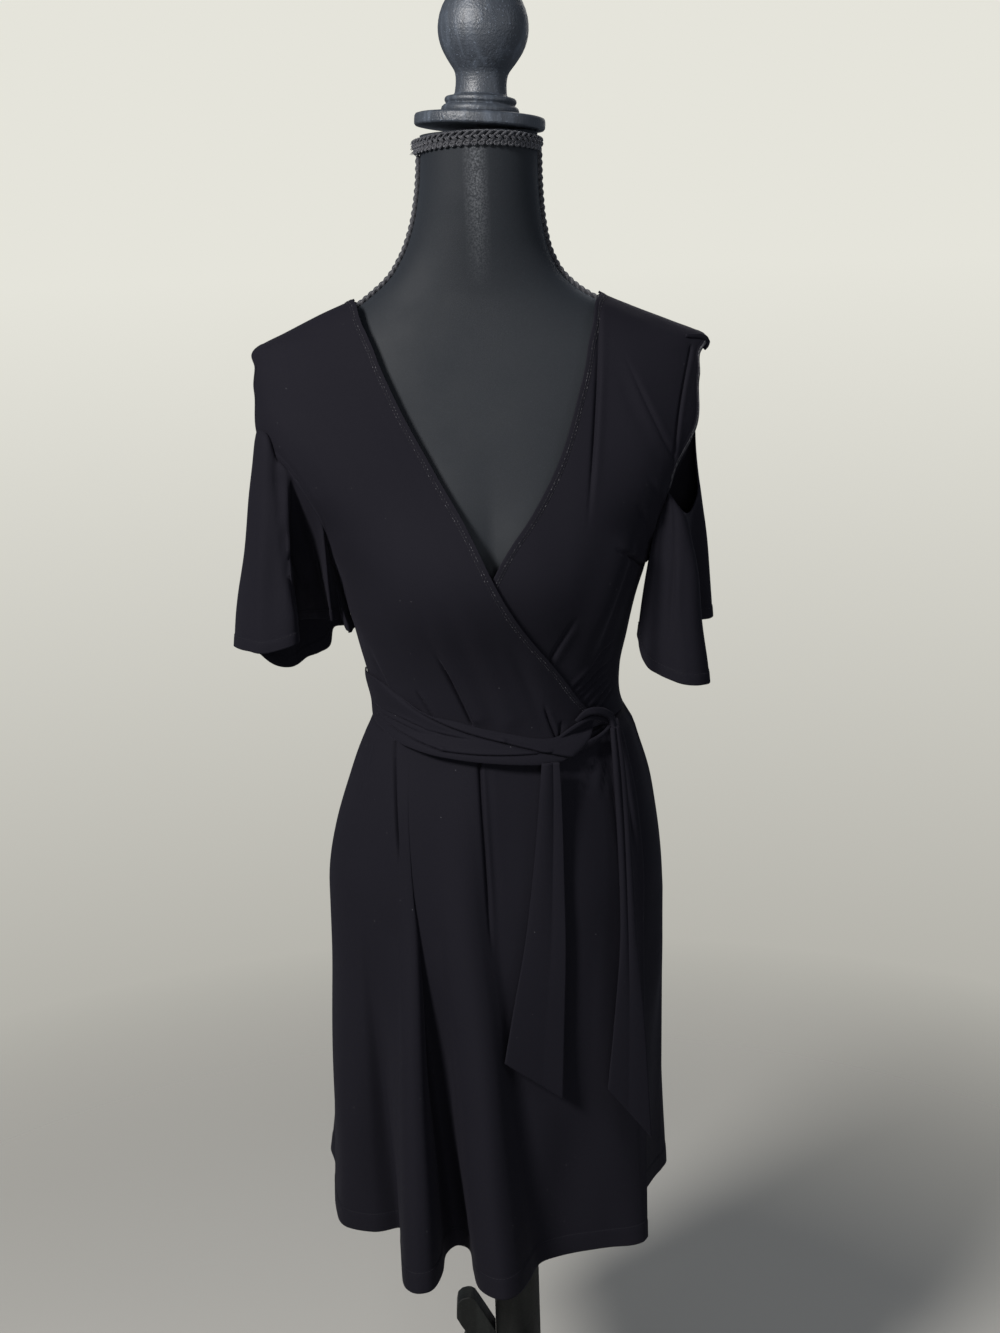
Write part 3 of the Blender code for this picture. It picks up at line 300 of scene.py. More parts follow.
# ==== Neck cap and ball ===================================================================
# Turned hardwood under semi-gloss black paint: a flat disc that closes the neck, a stepped
# ring and a ball, on one dowel that leans a little to the right in its hole.
CAP_LEAN = math.radians(4.2)
CAP_SHIFT = 0.0016
CAP_Z = 1.5275
CAP_STEPS = 84
PROFILE = ("radius", "height")
DISC = ((0.0, 0.0), (0.0555, 0.0), (0.0588, 0.0006), (0.0600, 0.0022), (0.0601, 0.0060),
        (0.0599, 0.0090), (0.0590, 0.0107), (0.0568, 0.0114), (0.0400, 0.0115), (0.0, 0.0115))
RING = ((0.0, 0.0118), (0.0330, 0.0118), (0.0347, 0.0124), (0.0356, 0.0140), (0.0358, 0.0160),
        (0.0352, 0.0180), (0.0338, 0.0194), (0.0321, 0.0202), (0.0316, 0.0209), (0.0320, 0.0218),
        (0.0328, 0.0230), (0.0330, 0.0242), (0.0326, 0.0257), (0.0314, 0.0269), (0.0292, 0.0275),
        (0.0, 0.0275))
BALL = ((0.0, 0.0278), (0.0250, 0.0278), (0.0262, 0.0281), (0.0252, 0.0287), (0.0243, 0.0294),
        (0.0239, 0.0306), (0.0236, 0.0330), (0.0233, 0.0365), (0.0232, 0.0400), (0.0234, 0.0435),
        (0.0241, 0.0473), (0.0255, 0.0503), (0.0277, 0.0534), (0.0302, 0.0568), (0.0327, 0.0605),
        (0.0350, 0.0642), (0.0368, 0.0675), (0.0386, 0.0718), (0.0400, 0.0765), (0.0409, 0.0815),
        (0.0412, 0.0862), (0.0408, 0.0920), (0.0398, 0.0975), (0.0376, 0.1042), (0.0345, 0.1105),
        (0.0290, 0.1172), (0.0225, 0.1219), (0.0150, 0.1250), (0.0080, 0.1264), (0.0, 0.1269))


def paint_finish(name, colour, roughness, grain, shine):
    """Brushed black paint over wood: long grain lines along one axis, pores, dust and a satin
    shine whose roughness wanders."""
    finish, tree, shader = new_finish(name, Specular_IOR_Level=shine)
    place = add(tree, "TexCoord", out=3)
    fibre = noise(tree, add(tree, "Mapping", {"Vector": place, "Scale": grain}), 90.0, 6.0, 0.6)
    pores, cloud = noise(tree, place, 520.0, 3.0), noise(tree, place, 30.0, 4.0)
    pale = tuple(2.6 * c for c in colour)
    base = blend_colours(tree, remap(tree, fibre, 0.48, 0.80), (*colour, 1), (*pale, 1))
    dust = remap(tree, pores, 0.64, 0.72, 0.0, 0.55)
    base = blend_colours(tree, dust, base, (*(6 * c for c in colour), 1))
    rough = remap(tree, cloud, 0.3, 0.7, roughness - 0.07, roughness + 0.09)
    feed(tree, shader, base, rough, maths(tree, "ADD", fibre, pores), 0.0009, 0.60)
    return finish


def turned(profile, steps, spacing=0.0012):
    """A profile of (radius, height) turned about its axis, with points added along it so that
    no step is longer than the spacing; the tips of the profile lie on the axis."""
    shape = columns(PROFILE, profile)
    steps_run = np.hypot(np.diff(shape["radius"]), np.diff(shape["height"]))
    run = np.concatenate([[0], np.cumsum(steps_run)])
    at = np.unique(np.concatenate([run, np.arange(0, run[-1], spacing)]))
    radius = np.maximum(np.interp(at, run, shape["radius"]), 0.0004)
    height = np.interp(at, run, shape["height"])
    turn = np.linspace(0, 2 * math.pi, steps, endpoint=False)
    ring = np.stack([np.cos(turn), np.sin(turn), 0 * turn], axis=-1)
    return ring[:, None] * radius[None, :, None] + height[None, :, None] * np.array([0, 0, 1.0])


def lean_cap(grid):
    """Turns points about the depth axis by the cap's lean and sets them on the neck."""
    x, y, z = grid[..., 0], grid[..., 1], grid[..., 2]
    c, s = math.cos(CAP_LEAN), math.sin(CAP_LEAN)
    return np.stack([c * x + s * z + CAP_SHIFT, y, -s * x + c * z + CAP_Z], axis=-1)


cap_paint = paint_finish(
    "black paint on the cap", (0.0260, 0.0310, 0.0390), 0.48, (1.0, 1.0, 0.16), 0.5)
for cap_name, cap_profile, cap_node in (
    ("cap_disc", DISC, "neck_cap_disc"),
    ("cap_ring", RING, "neck_cap_ring"),
    ("cap_ball", BALL, "finial_ball"),
):
    cap_points = lean_cap(turned(cap_profile, CAP_STEPS))
    closed_piece(cap_name, cap_points, cap_paint, "painted_wood", cap_node)

# ==== Gimp braid and side cords ===========================================================
# Black gimp glued round the top of the neck: two rows of slanted strands that meet in a
# herringbone, over one row of round loops. A twisted cord runs down each side of the neck.
BRAID = {"loops": 54, "height": 0.0125, "sag": 0.0030, "tilt": 0.0010, "stand": 0.0012}
BRAID_FRAY = 0.0030
NECK_RADIUS = 0.056
LEAF = {"length": 0.0072, "radius": 0.0013125, "slant": 34.0, "out": 0.0019, "arch": 0.0009}
LEAF_ROWS = ((0.0022, 1.0, 0.0), (0.0056, -1.0, 0.35))
LOOP_ARCH = {"down": 0.0102, "half_width": 0.00215, "rise": 0.0017, "out": 0.0014,
             "radius": 0.00095}
BACKING = ((0.0003, 0.0010, 0.0010), (0.0040, 0.0006, 0.0013), (0.0078, 0.0010, 0.0010),
           (0.0104, 0.0004, 0.0012))
BACKING_WAVE = 0.0003
TUFT = {"threads": 14, "spread": 0.10, "radius": 0.00022}
CORD = {"radius": 0.0024, "sunk": 0.0006, "lobe": 0.22, "pitch": 0.0066, "low": 1.3705,
        "high": 1.5058}
CORD_GRID = (20, 360)


def braid_point(angle, down, out):
    """Point on the braid's band at an angle round the neck, so far down from its top edge and
    so far out from the neck; the top edge dips at the sides, more on the right."""
    fray = BRAID_FRAY * np.exp(-(((angle - math.pi) / 0.3) ** 2))
    radius = section_radius(FORM, angle, NECK_TOP + 0 * angle) + BRAID["stand"] + fray + out
    top = NECK_TOP - 0.0006 - BRAID["sag"] * np.cos(angle) ** 2
    top = top - BRAID["tilt"] * (1 + np.cos(angle)) / 2
    return np.stack([radius * np.cos(angle), radius * np.sin(angle), top - down], axis=-1)


def outwards(points):
    """Level unit vectors that point away from the post's axis."""
    return unit(points * np.array([1.0, 1.0, 0.0]))


def across_path(paths):
    """Two unit vectors square to paths of steps: one as far outwards as can be, and the other."""
    along = unit(np.gradient(paths, axis=-2))
    out = outwards(paths)
    out = unit(out - along * np.sum(out * along, axis=-1, keepdims=True))
    return out, np.cross(along, out)


def tubes(paths, radius, sides, taper=None):
    """Round tubes about many paths at once, (tube, step, xyz) → (tube, side, step, xyz): a circle
    in the plane across each step, its radius times the taper along the tube."""
    out, side = across_path(paths)
    turn = np.linspace(0, 2 * math.pi, sides, endpoint=False)[None, :, None, None]
    size = radius * (1.0 if taper is None else taper[None, None, :, None])
    return paths[:, None] + size * (np.cos(turn) * out[:, None] + np.sin(turn) * side[:, None])


def many_tubes(name, groups, finish):
    """One mesh of closed tubes: each group is an array (tube, side, step, xyz)."""
    points, faces, uvs, base = [], [], [], 0
    for group in groups:
        count, sides, steps = group.shape[:3]
        ring = np.arange(sides * steps).reshape(sides, steps)
        near, far = ring, np.roll(ring, -1, axis=0)
        quads = np.stack([near[:, :-1], far[:, :-1], far[:, 1:], near[:, 1:]], axis=-1)
        first = base + np.arange(count)[:, None] * sides * steps
        faces += (first[..., None] + quads.reshape(1, -1, 4)).reshape(-1, 4).tolist()
        faces += (first + ring[None, ::-1, 0]).tolist() + (first + ring[None, :, -1]).tolist()
        length = np.linalg.norm(group[0, 0, 0] - group[0, 0, -1])
        across = (np.arange(sides)[:, None] + [0, 1, 1, 0]) / sides
        down = (np.arange(steps - 1)[:, None] + [0, 0, 1, 1]) / (steps - 1) * length
        uv = np.stack([across[:, None] + 0 * down[None], down[None] + 0 * across[:, None]], axis=-1)
        uvs.append(np.tile(uv.reshape(-1, 2), (count, 1)))
        uvs.append(np.zeros((2 * count * sides, 2)))
        points.append(group.reshape(-1, 3))
        base += count * sides * steps
    return surface(name, np.concatenate(points), faces, np.concatenate(uvs), finish)


def braid_finish():
    """Shiny rayon thread wound round a core: fine slanting thread lines and a little dust."""
    finish, tree, shader = new_finish(
        "black gimp", Roughness=0.50, Sheen_Weight=0.25, Sheen_Tint=(0.80, 0.82, 0.88, 1.0),
        Specular_IOR_Level=0.45)
    place = add(tree, "TexCoord", out=3)
    turned_by = add(tree, "Mapping", {"Vector": place, "Rotation": (0.0, 0.6, 0.0)})
    thread = add(tree, "TexWave", {"Vector": turned_by, "Scale": 480.0, "Distortion": 1.2})
    dust = remap(tree, noise(tree, place, 700.0, 3.0), 0.62, 0.74, 0.0, 0.5)
    base = blend_colours(tree, thread, (0.0095, 0.0095, 0.0120, 1), (0.0220, 0.0220, 0.0270, 1))
    base = blend_colours(tree, dust, base, (0.09, 0.09, 0.095, 1))
    feed(tree, shader, base, None, thread, 0.00025, 0.6)
    return finish


gimp = braid_finish()


def build_neck_braid():
    """Strand centres step round the neck in equal angles. A leaf runs half its length to each
    side of its centre at the slant; a loop is a small arch; four waved cords back them all; and
    short loose threads stand out from the frayed join at the left."""
    count, length = BRAID["loops"], LEAF["length"]
    centre = np.linspace(0, 2 * math.pi, count, endpoint=False)[:, None]
    s = np.linspace(-0.5, 0.5, 9)[None]
    slant = math.radians(LEAF["slant"])
    groups = []
    for middle, lean, swing in LEAF_ROWS:
        angle = centre + (2 * math.pi / count) * swing + s * length * math.cos(slant) / NECK_RADIUS
        down = middle - lean * s * length * math.sin(slant) + 0 * centre
        arch = LEAF["out"] + LEAF["arch"] * np.cos(math.pi * s) + 0 * centre
        path = braid_point(angle, down, arch)
        groups.append(tubes(path, LEAF["radius"], 8, 0.35 + 0.65 * np.cos(math.pi * s[0]) ** 0.7))
    bow = np.linspace(-math.pi, math.pi, 17)[None]
    angle = centre + LOOP_ARCH["half_width"] * np.sin(bow) / NECK_RADIUS
    down = LOOP_ARCH["down"] - LOOP_ARCH["rise"] * np.cos(bow) + 0 * centre
    path = braid_point(angle, down, LOOP_ARCH["out"] + 0 * down)
    groups.append(tubes(path, LOOP_ARCH["radius"], 6))
    loop = np.linspace(0, 2 * math.pi, 361)[None]
    for down, out, radius in BACKING:
        wave = BACKING_WAVE * np.sin(loop * count)
        groups.append(tubes(braid_point(loop, down + wave, out + 0 * loop), radius, 6))
    rng = np.random.default_rng(7)
    tuft = np.linspace(0, 1, 10)[None]
    threads = (TUFT["threads"], 1)
    start = math.pi + rng.uniform(-TUFT["spread"], TUFT["spread"], threads)
    drop = rng.uniform(0.000, 0.010, threads)
    reach = rng.uniform(0.004, 0.010, threads)
    path = braid_point(start + 0.05 * tuft * rng.uniform(-1, 1, threads),
                       drop + 0.003 * tuft**2, 0.0006 + reach * tuft * 0.55)
    groups.append(tubes(path, TUFT["radius"], 5))
    braid = many_tubes("neck_gimp_braid", groups, gimp)
    shown_as(braid, "braid", "neck_braid")


def build_side_cord(side, angle):
    """A two-ply cord down the neck's outline: radius × (1 + lobe × cos 2(turn − run/pitch))."""
    heights = np.linspace(CORD["low"], CORD["high"], CORD_GRID[1])
    line = body_point(FORM, np.full(len(heights), angle), heights, False)
    across = np.array([0.0, 1.0, 0.0])
    out = np.cross(unit(np.gradient(line, axis=0)), across)
    out *= np.sign(out[:, :1] * line[:, :1])
    middle = line + out * (CORD["radius"] - CORD["sunk"])
    turn = np.linspace(0, 2 * math.pi, CORD_GRID[0], endpoint=False)[:, None]
    lobes = 1 + CORD["lobe"] * np.cos(2 * (turn - math.pi * run_along(middle) / CORD["pitch"]))
    size = CORD["radius"] * lobes[..., None]
    spread = np.cos(turn)[..., None] * out[None] + np.sin(turn)[..., None] * across
    grid = middle[None] + size * spread
    closed_piece("side_cord_" + side, grid, gimp, "braid", "side_piping_" + side)


build_neck_braid()
build_side_cord("left", math.pi)
build_side_cord("right", 0.0)

# ==== Stand ===============================================================================
# A round wooden post and three sawn legs set round it, all brushed with the same black
# paint. The legs are flat boards with eased edges; the post shows only under the hem.
POST = ((0.0, 0.0520), (0.0140, 0.0520), (0.0165, 0.0526), (0.0205, 0.0552), (0.0232, 0.0590),
        (0.0243, 0.0630), (0.0245, 0.0680), (0.0245, 0.6547), (0.0, 0.6547))
LEGS = (("left", 180.0, 0.316), ("front", 300.0, 0.264), ("back", 60.0, 0.212))
POST_STEPS = 72
LEG_THICKNESS, EASED_EDGE = 0.022, 0.0016
LEG_REACH = 0.225
FOOT = 0.027
TOE_HEIGHT = 0.015
LEG_CURVE = 1.7
KNEE = ((0.0248, -0.118), (0.0248, -0.042), (0.036, -0.021), (0.046, -0.003), (0.050, -0.0005),
        (0.054, 0.0), (0.060, -0.0015), (0.065, -0.006), (0.0665, -0.014), (0.067, -0.026),
        (0.062, -0.036), (0.056, -0.046), (0.060, -0.058))
stand_paint = paint_finish(
    "black paint on the stand", (0.0040, 0.0046, 0.0042), 0.55, (1.0, 1.0, 0.10), 0.22)
post_points = turned(POST, POST_STEPS, 0.006)
closed_piece("post", post_points, stand_paint, "painted_wood", "stand_post")


def leg_outline(knee):
    """Side outline of a leg: distance from the post's axis and height. The upper and lower edges
    fall as (1 − s)^1.7 to the foot, and the knee above them is rounded."""
    top = np.array(KNEE) + [0.0, knee]
    s = np.linspace(0, 1, 22)[1:]
    fall = (1 - s) ** LEG_CURVE
    outer = np.stack([top[-1, 0] + (LEG_REACH - top[-1, 0]) * s,
                      TOE_HEIGHT + (top[-1, 1] - TOE_HEIGHT) * fall], axis=-1)
    inner = np.stack([top[0, 0] + (LEG_REACH - FOOT - top[0, 0]) * s, top[0, 1] * fall], axis=-1)
    return np.concatenate([top, outer, [(LEG_REACH, 0.0)], inner[::-1]])


def build_leg(name, direction, knee):
    """The outline between two flat faces; a Bevel modifier eases every edge."""
    out = math.radians(direction)
    line = leg_outline(knee)
    count = len(line)
    ray = np.array([math.cos(out), math.sin(out), 0.0])
    across = np.array([-math.sin(out), math.cos(out), 0.0]) * LEG_THICKNESS / 2
    flat = line[:, :1] * ray + line[:, 1:] * np.array([0, 0, 1.0])
    ring = np.arange(count)
    sides = np.stack([ring, np.roll(ring, -1), np.roll(ring, -1) + count, ring + count], axis=-1)
    faces = sides.tolist() + [ring[::-1].tolist(), (ring + count).tolist()]
    points = np.concatenate([flat - across, flat + across]) + [POST_X, 0.0, 0.0]
    mesh = bpy.data.meshes.new("leg_" + name)
    mesh.from_pydata(points.tolist(), [], faces)
    mesh.materials.append(stand_paint)
    mesh.shade_smooth()
    mesh.set_sharp_from_angle(angle=math.radians(32))
    leg = placed("leg_" + name, mesh)
    eased = leg.modifiers.new("Eased edges", "BEVEL")
    eased.width = EASED_EDGE
    eased.segments = 3
    eased.limit_method = "ANGLE"
    eased.harden_normals = True
    shown_as(leg, "painted_wood", "stand_leg_" + name)


for leg_name, leg_direction, leg_knee in LEGS:
    build_leg(leg_name, leg_direction, leg_knee)

# ==== Jersey ==============================================================================
# The dress is one black matte stretch jersey: smooth face, fine upright wales, a soft violet
# sheen, and a few specks of lint. Every cut piece is a thin wall with folded, stitched edges.
WALL = 0.0011
LINT = {"cell": 260.0, "share": 0.990}


def jersey_finish(name):
    """Wales as waves 0.7 mm apart across the cloth and courses 0.5 mm apart along it, a slow
    change of colour and roughness, and bright short specks where a cell's random number is
    above the share given."""
    finish, tree, shader = new_finish(
        name, Sheen_Weight=0.020, Sheen_Roughness=0.40, Sheen_Tint=(0.72, 0.68, 0.88, 1.0),
        Specular_IOR_Level=0.05)
    place = add(tree, "UVMap", uv_map="metres")
    wave = {"Vector": place, "Distortion": 0.4, "Detail": 1.0}
    wale = add(tree, "TexWave", {**wave, "Scale": 449.0})
    course = add(tree, "TexWave", {**wave, "Scale": 628.0}, bands_direction="Y")
    cloud, fuzz = noise(tree, place, 9.0, 4.0), noise(tree, place, 900.0, 2.0)
    cells = tree.nodes.new("ShaderNodeTexVoronoi")
    cells.inputs["Scale"].default_value = LINT["cell"]
    tree.links.new(place, cells.inputs["Vector"])
    near = remap(tree, cells.outputs["Distance"], 0.13, 0.07)
    cell_red = tree.nodes.new("ShaderNodeSeparateColor")
    tree.links.new(cells.outputs["Color"], cell_red.inputs[0])
    chosen = maths(tree, "GREATER_THAN", cell_red.outputs[0], LINT["share"])
    speck = maths(tree, "MULTIPLY", near, chosen)
    base = blend_colours(tree, cloud, (0.0056, 0.0053, 0.0078, 1), (0.0074, 0.0070, 0.0100, 1))
    fuzzy = remap(tree, fuzz, 0.4, 0.8, 0.0, 0.25)
    base = blend_colours(tree, fuzzy, base, (0.016, 0.0152, 0.020, 1))
    base = blend_colours(tree, speck, base, (0.075, 0.075, 0.08, 1))
    knit = maths(tree, "ADD", maths(tree, "ADD", wale, course), fuzz)
    feed(tree, shader, base, remap(tree, cloud, 0.3, 0.7, 0.72, 0.84), knit, 0.00012, 0.35)
    return finish


jersey = jersey_finish("black jersey")


def thread_finish(name, dark, light, low, high):
    """Spun thread: a fine noise carries its colour from dark to light between two levels."""
    finish, tree, shader = new_finish(name, Roughness=0.55, Specular_IOR_Level=0.20)
    twist = noise(tree, add(tree, "TexCoord", out=3), 700.0, 2.0)
    feed(tree, shader, blend_colours(tree, remap(tree, twist, low, high), dark, light))
    return finish


hem_thread, edge_thread, overlock_thread = (
    thread_finish(*row)
    for row in (
        ("black hem thread", (0.005, 0.005, 0.007, 1), (0.016, 0.015, 0.019, 1), 0.4, 0.7),
        ("dusty black thread", (0.008, 0.008, 0.010, 1), (0.110, 0.108, 0.115, 1), 0.52, 0.66),
        ("grey overlock thread", (0.020, 0.020, 0.023, 1), (0.130, 0.128, 0.136, 1), 0.42, 0.62),
    )
)


def cloth_piece(name, grid, node, around=False, thick=None, wall=WALL):
    """A cloth wall on a grid, half its thickness to each side; where thick is given, it is the
    share of twice the wall that each point gets, as at a folded hem."""
    piece = grid_piece(name, grid, jersey, around=around)
    body = piece.modifiers.new("Cloth wall", "SOLIDIFY")
    body.offset = 0.0
    body.thickness = wall
    body.use_even_offset = False
    if thick is not None:
        body.thickness = 2 * wall
        group = piece.vertex_groups.new(name="thick")
        body.vertex_group = "thick"
        body.thickness_vertex_group = 0.5
        for index in np.flatnonzero(thick.ravel() > 0.01).tolist():
            group.add([index], float(thick.ravel()[index]), "REPLACE")
    return shown_as(piece, "jersey", node)


def normals(grid):
    """Unit normals of a grid that goes round the upright axis, outwards on the whole."""
    normal = unit(np.cross(np.gradient(grid, axis=0), np.gradient(grid, axis=1)))
    away = np.sum(normal[..., :2] * grid[..., :2], axis=-1).mean()
    return normal if away > 0 else -normal


CREASE = ("x1", "z1", "x2", "z2", "bow", "width", "trough", "ridge", "start", "end")
NARROW_CREASE, CREASE_REACH = 0.0048, 0.011


def beside(across, up, c):
    """Signed distance of points to the right of a crease's arc, their share of the way along it,
    how far they lie beyond its ends, and the arc's direction."""
    run = np.array([c["x2"] - c["x1"], c["z2"] - c["z1"]])
    length = np.hypot(*run)
    run = run / length
    px, pz = across - c["x1"], up - c["z1"]
    s = (px * run[0] + pz * run[1]) / length
    inside = np.clip(s, 0.0, 1.0)
    d = px * run[1] - pz * run[0] - c["bow"] * 4 * inside * (1 - inside)
    return d, inside, (s - inside) * length, run


def creases(across, up, rows):
    """Height of soft creases over a front or back seen square on. Each is an arc between two
    points, bowed sideways at its middle. With d the distance to the right of it in widths, it
    is −trough·exp(−4d²) + ridge·exp(−(d + 1)²), times a fade from its start and end values."""
    height = np.zeros_like(across)
    for row in rows:
        c = dict(zip(CREASE, row))
        d, inside, beyond, _ = beside(across, up, c)
        fade = ramp(inside, 0.0, 0.45) * (1 - c["start"]) + c["start"]
        fade = fade * (ramp(1 - inside, 0.0, 0.45) * (1 - c["end"]) + c["end"])
        d = d / c["width"]
        shape = c["ridge"] * np.exp(-((d + 1.0) ** 2)) - c["trough"] * np.exp(-4 * d * d)
        height += shape * fade * np.exp(-((beyond / c["width"]) ** 2))
    return height


def drawn_in(base, rows, share):
    """Slides the points of a garment grid towards the narrow creases, so that these are smooth:
    within the reach, a distance d becomes reach·(d / reach)^1.6."""
    reach = CREASE_REACH
    x, z = base[..., 0].copy(), base[..., 2].copy()
    for row in rows:
        c = dict(zip(CREASE, row))
        if c["width"] > NARROW_CREASE:
            continue
        d, _, beyond, run = beside(x, z, c)
        near = np.minimum(np.abs(d) / reach, 1.0)
        slide = np.sign(d) * reach * (near**1.6 - near) * np.exp(-((beyond / reach) ** 2)) * share
        x += slide * run[1]
        z -= slide * run[0]
    return body_point(GARMENT, np.arctan2(base[..., 1], x), z, True)


def handle(grid, size, seed):
    """Slow unevenness of hanging cloth: five sine waves over the points, of random direction
    and 4 to 14 cm long, together about as high as the size."""
    rng = np.random.default_rng(seed)
    waves = rng.normal(size=(5, 3)) * np.array([1.0, 0.6, 0.45])
    waves *= (2 * math.pi / rng.uniform(0.04, 0.14, 5) / np.linalg.norm(waves, axis=1))[:, None]
    phase = rng.uniform(0, 2 * math.pi, 5)
    return size / 2.2 * np.sin(grid @ waves.T + phase).sum(axis=-1)


BAND = ("angle", "height", "offset", "width", "thickness")
BAND_GRID = (36, 72)


def read_rows(names, rows, at):
    """Each named column of a table, read at shares of the way from its first row to its last."""
    run = np.linspace(0, 1, len(rows))
    return {key: curve(at, run, values) for key, values in columns(names, rows).items()}


def band_grid(rows):
    """A rounded band of cloth swept along a path that stands off the garment."""
    read = read_rows(BAND, rows, np.linspace(0, 1, BAND_GRID[1]))
    middle = body_point(GARMENT, np.radians(read["angle"]), read["height"], True)
    middle = middle + outwards(middle) * read["offset"][:, None]
    out, side = across_path(middle)
    turn = np.linspace(0, 2 * math.pi, BAND_GRID[0], endpoint=False)[:, None]
    fold = 1 - 0.10 * np.cos(3 * turn + 0.8)
    wide = (np.cos(turn) * fold * read["width"] / 2)[..., None]
    deep = (np.sin(turn) * fold * read["thickness"] / 2)[..., None]
    return middle[None] + side[None] * wide + out[None] * deep


def inset_line(grid, edge_first, inset):
    """The line on a grid that runs a distance in from its first or last column; also the
    outward normals there."""
    face = normals(grid)
    if not edge_first:
        grid, face = grid[::-1], face[::-1]
    run = run_along(grid)
    i = np.clip((run < inset).sum(axis=0) - 1, 0, len(grid) - 2)
    j = np.arange(grid.shape[1])
    t = ((inset - run[i, j]) / (run[i + 1, j] - run[i, j]))[:, None]
    return grid[i, j] * (1 - t) + grid[i + 1, j] * t, face[i, j]


def read_line(points, run, at):
    """Points or vectors of a line, read straight between its own at distances along it."""
    return np.stack([np.interp(at, run, points[:, k]) for k in range(3)], axis=-1)


STITCH_MARGIN = 0.003
STITCH_BOW = np.array([0.0, 0.8, 1.0, 0.8, 0.0])
STITCH_TAPER = np.array([0.35, 0.9, 1.0, 0.9, 0.35])


def stitches(name, lines, finish, lift, length=0.0026, gap=0.0008, radius=0.00022):
    """Short rounded stitches along lines on the cloth: each line is (points, normals), and each
    stitch is a 5-sided spindle as long as given, half sunk in the cloth's face."""
    groups = []
    for points, face in lines:
        run = run_along(points)
        start = np.arange(STITCH_MARGIN, run[-1] - STITCH_MARGIN - length, length + gap)
        at = start[:, None] + np.linspace(0, length, 5)[None]
        bow = STITCH_BOW * radius
        path = read_line(points, run, at) + read_line(face, run, at) * (lift + bow[None, :, None])
        groups.append(tubes(path, radius, 5, STITCH_TAPER))
    shown_as(many_tubes(name, groups, finish), "jersey")


# ==== Bodice ==============================================================================
# A back and two crossed fronts, cut to one close garment shape. The free wrap edges are turned
# under 6 mm and topstitched, the open armhole edges are overlocked, and all meet at the waist.
GARMENT = (
    (0.780, 0.1765, 0.1640, 0.1140, 0.1260, 2.20),
    (0.820, 0.1745, 0.1620, 0.1140, 0.1230, 2.20),
    (0.870, 0.1640, 0.1565, 0.1110, 0.1140, 2.15),
    (0.914, 0.1495, 0.1490, 0.1060, 0.1020, 2.10),
    (0.945, 0.1380, 0.1400, 0.1010, 0.0910, 2.10),
    (0.963, 0.1300, 0.1345, 0.0985, 0.0855, 2.10),
    (0.980, 0.1220, 0.1250, 0.0970, 0.0800, 2.10),
    (1.020, 0.1255, 0.1215, 0.0980, 0.0820, 2.15),
    (1.055, 0.1330, 0.1290, 0.1020, 0.0870, 2.20),
    (1.090, 0.1410, 0.1385, 0.1060, 0.0920, 2.30),
    (1.130, 0.1510, 0.1520, 0.1070, 0.0970, 2.40),
    (1.170, 0.1720, 0.1640, 0.1050, 0.1020, 2.60),
    (1.210, 0.2000, 0.1830, 0.0990, 0.1050, 2.90),
    (1.250, 0.2180, 0.2020, 0.0890, 0.1040, 3.10),
    (1.290, 0.2205, 0.2070, 0.0770, 0.0990, 3.00),
    (1.320, 0.2215, 0.2090, 0.0670, 0.0910, 2.70),
    (1.338, 0.2140, 0.2040, 0.0600, 0.0840, 2.45),
    (1.350, 0.1880, 0.1760, 0.0570, 0.0800, 2.30),
    (1.365, 0.1550, 0.1390, 0.0540, 0.0760, 2.15),
    (1.379, 0.1210, 0.1080, 0.0520, 0.0730, 2.05),
    (1.395, 0.1020, 0.0890, 0.0530, 0.0715, 2.00),
)
WAIST_Z, WAIST_DIP, WAIST_CLEAR = 0.980, 0.016, 0.0009
UNDERARM_Z, SHOULDER_Z, NECK_POINT_Z = 1.135, 1.338, 1.379
LAYER, UNDER_LAYER = 0.0027, -0.0015
ARMHOLE_COLUMNS = ("height", "front_left", "front_right", "back_left", "back_right")
ARMHOLE = (
    (UNDERARM_Z, 0.0, 0.0, 0.0, 0.0),
    (1.150, 13.0, 9.0, 8.0, 5.0),
    (1.175, 22.0, 15.5, 13.0, 6.0),
    (1.200, 23.0, 17.5, 14.0, 5.5),
    (1.220, 21.2, 18.4, 14.0, 5.5),
    (1.238, 17.2, 16.4, 14.0, 6.5),
    (1.255, 11.0, 13.8, 14.0, 9.0),
    (1.300, 8.0, 11.0, 12.5, 12.5),
    (1.325, 6.0, 7.4, 8.5, 8.5),
    (SHOULDER_Z, 0.0, 0.0, 0.0, 0.0),
)
SEAM_SWING = 0.05
EDGE = ("height", "x")
OVER_EDGE = ((1.003, 0.0780), (1.038, 0.0580), (1.088, 0.0270), (1.138, -0.0040),
             (1.186, -0.0290), (1.232, -0.0530), (1.278, -0.0770), (1.320, -0.0960),
             (1.352, -0.1090), (1.372, -0.1160))
UNDER_EDGE = ((1.040, -0.0550), (1.088, -0.0270), (1.138, 0.0040), (1.160, 0.0200), (1.186, 0.0400),
              (1.232, 0.0640), (1.295, 0.0850), (1.345, 0.0975), (1.371, 0.1035))
OVER_WAIST_X, UNDER_WAIST_X = 0.1010, -0.0850
SHOULDER_SHARE = 0.28
NAPE_DIP = 0.016
HEM_TURN, SECOND_ROW = 0.0062, 0.0022
ARM_TURN = 0.0050
FRONT_GRID, BACK_GRID = (172, 204), (134, 100)
TOP_FADE = 0.06
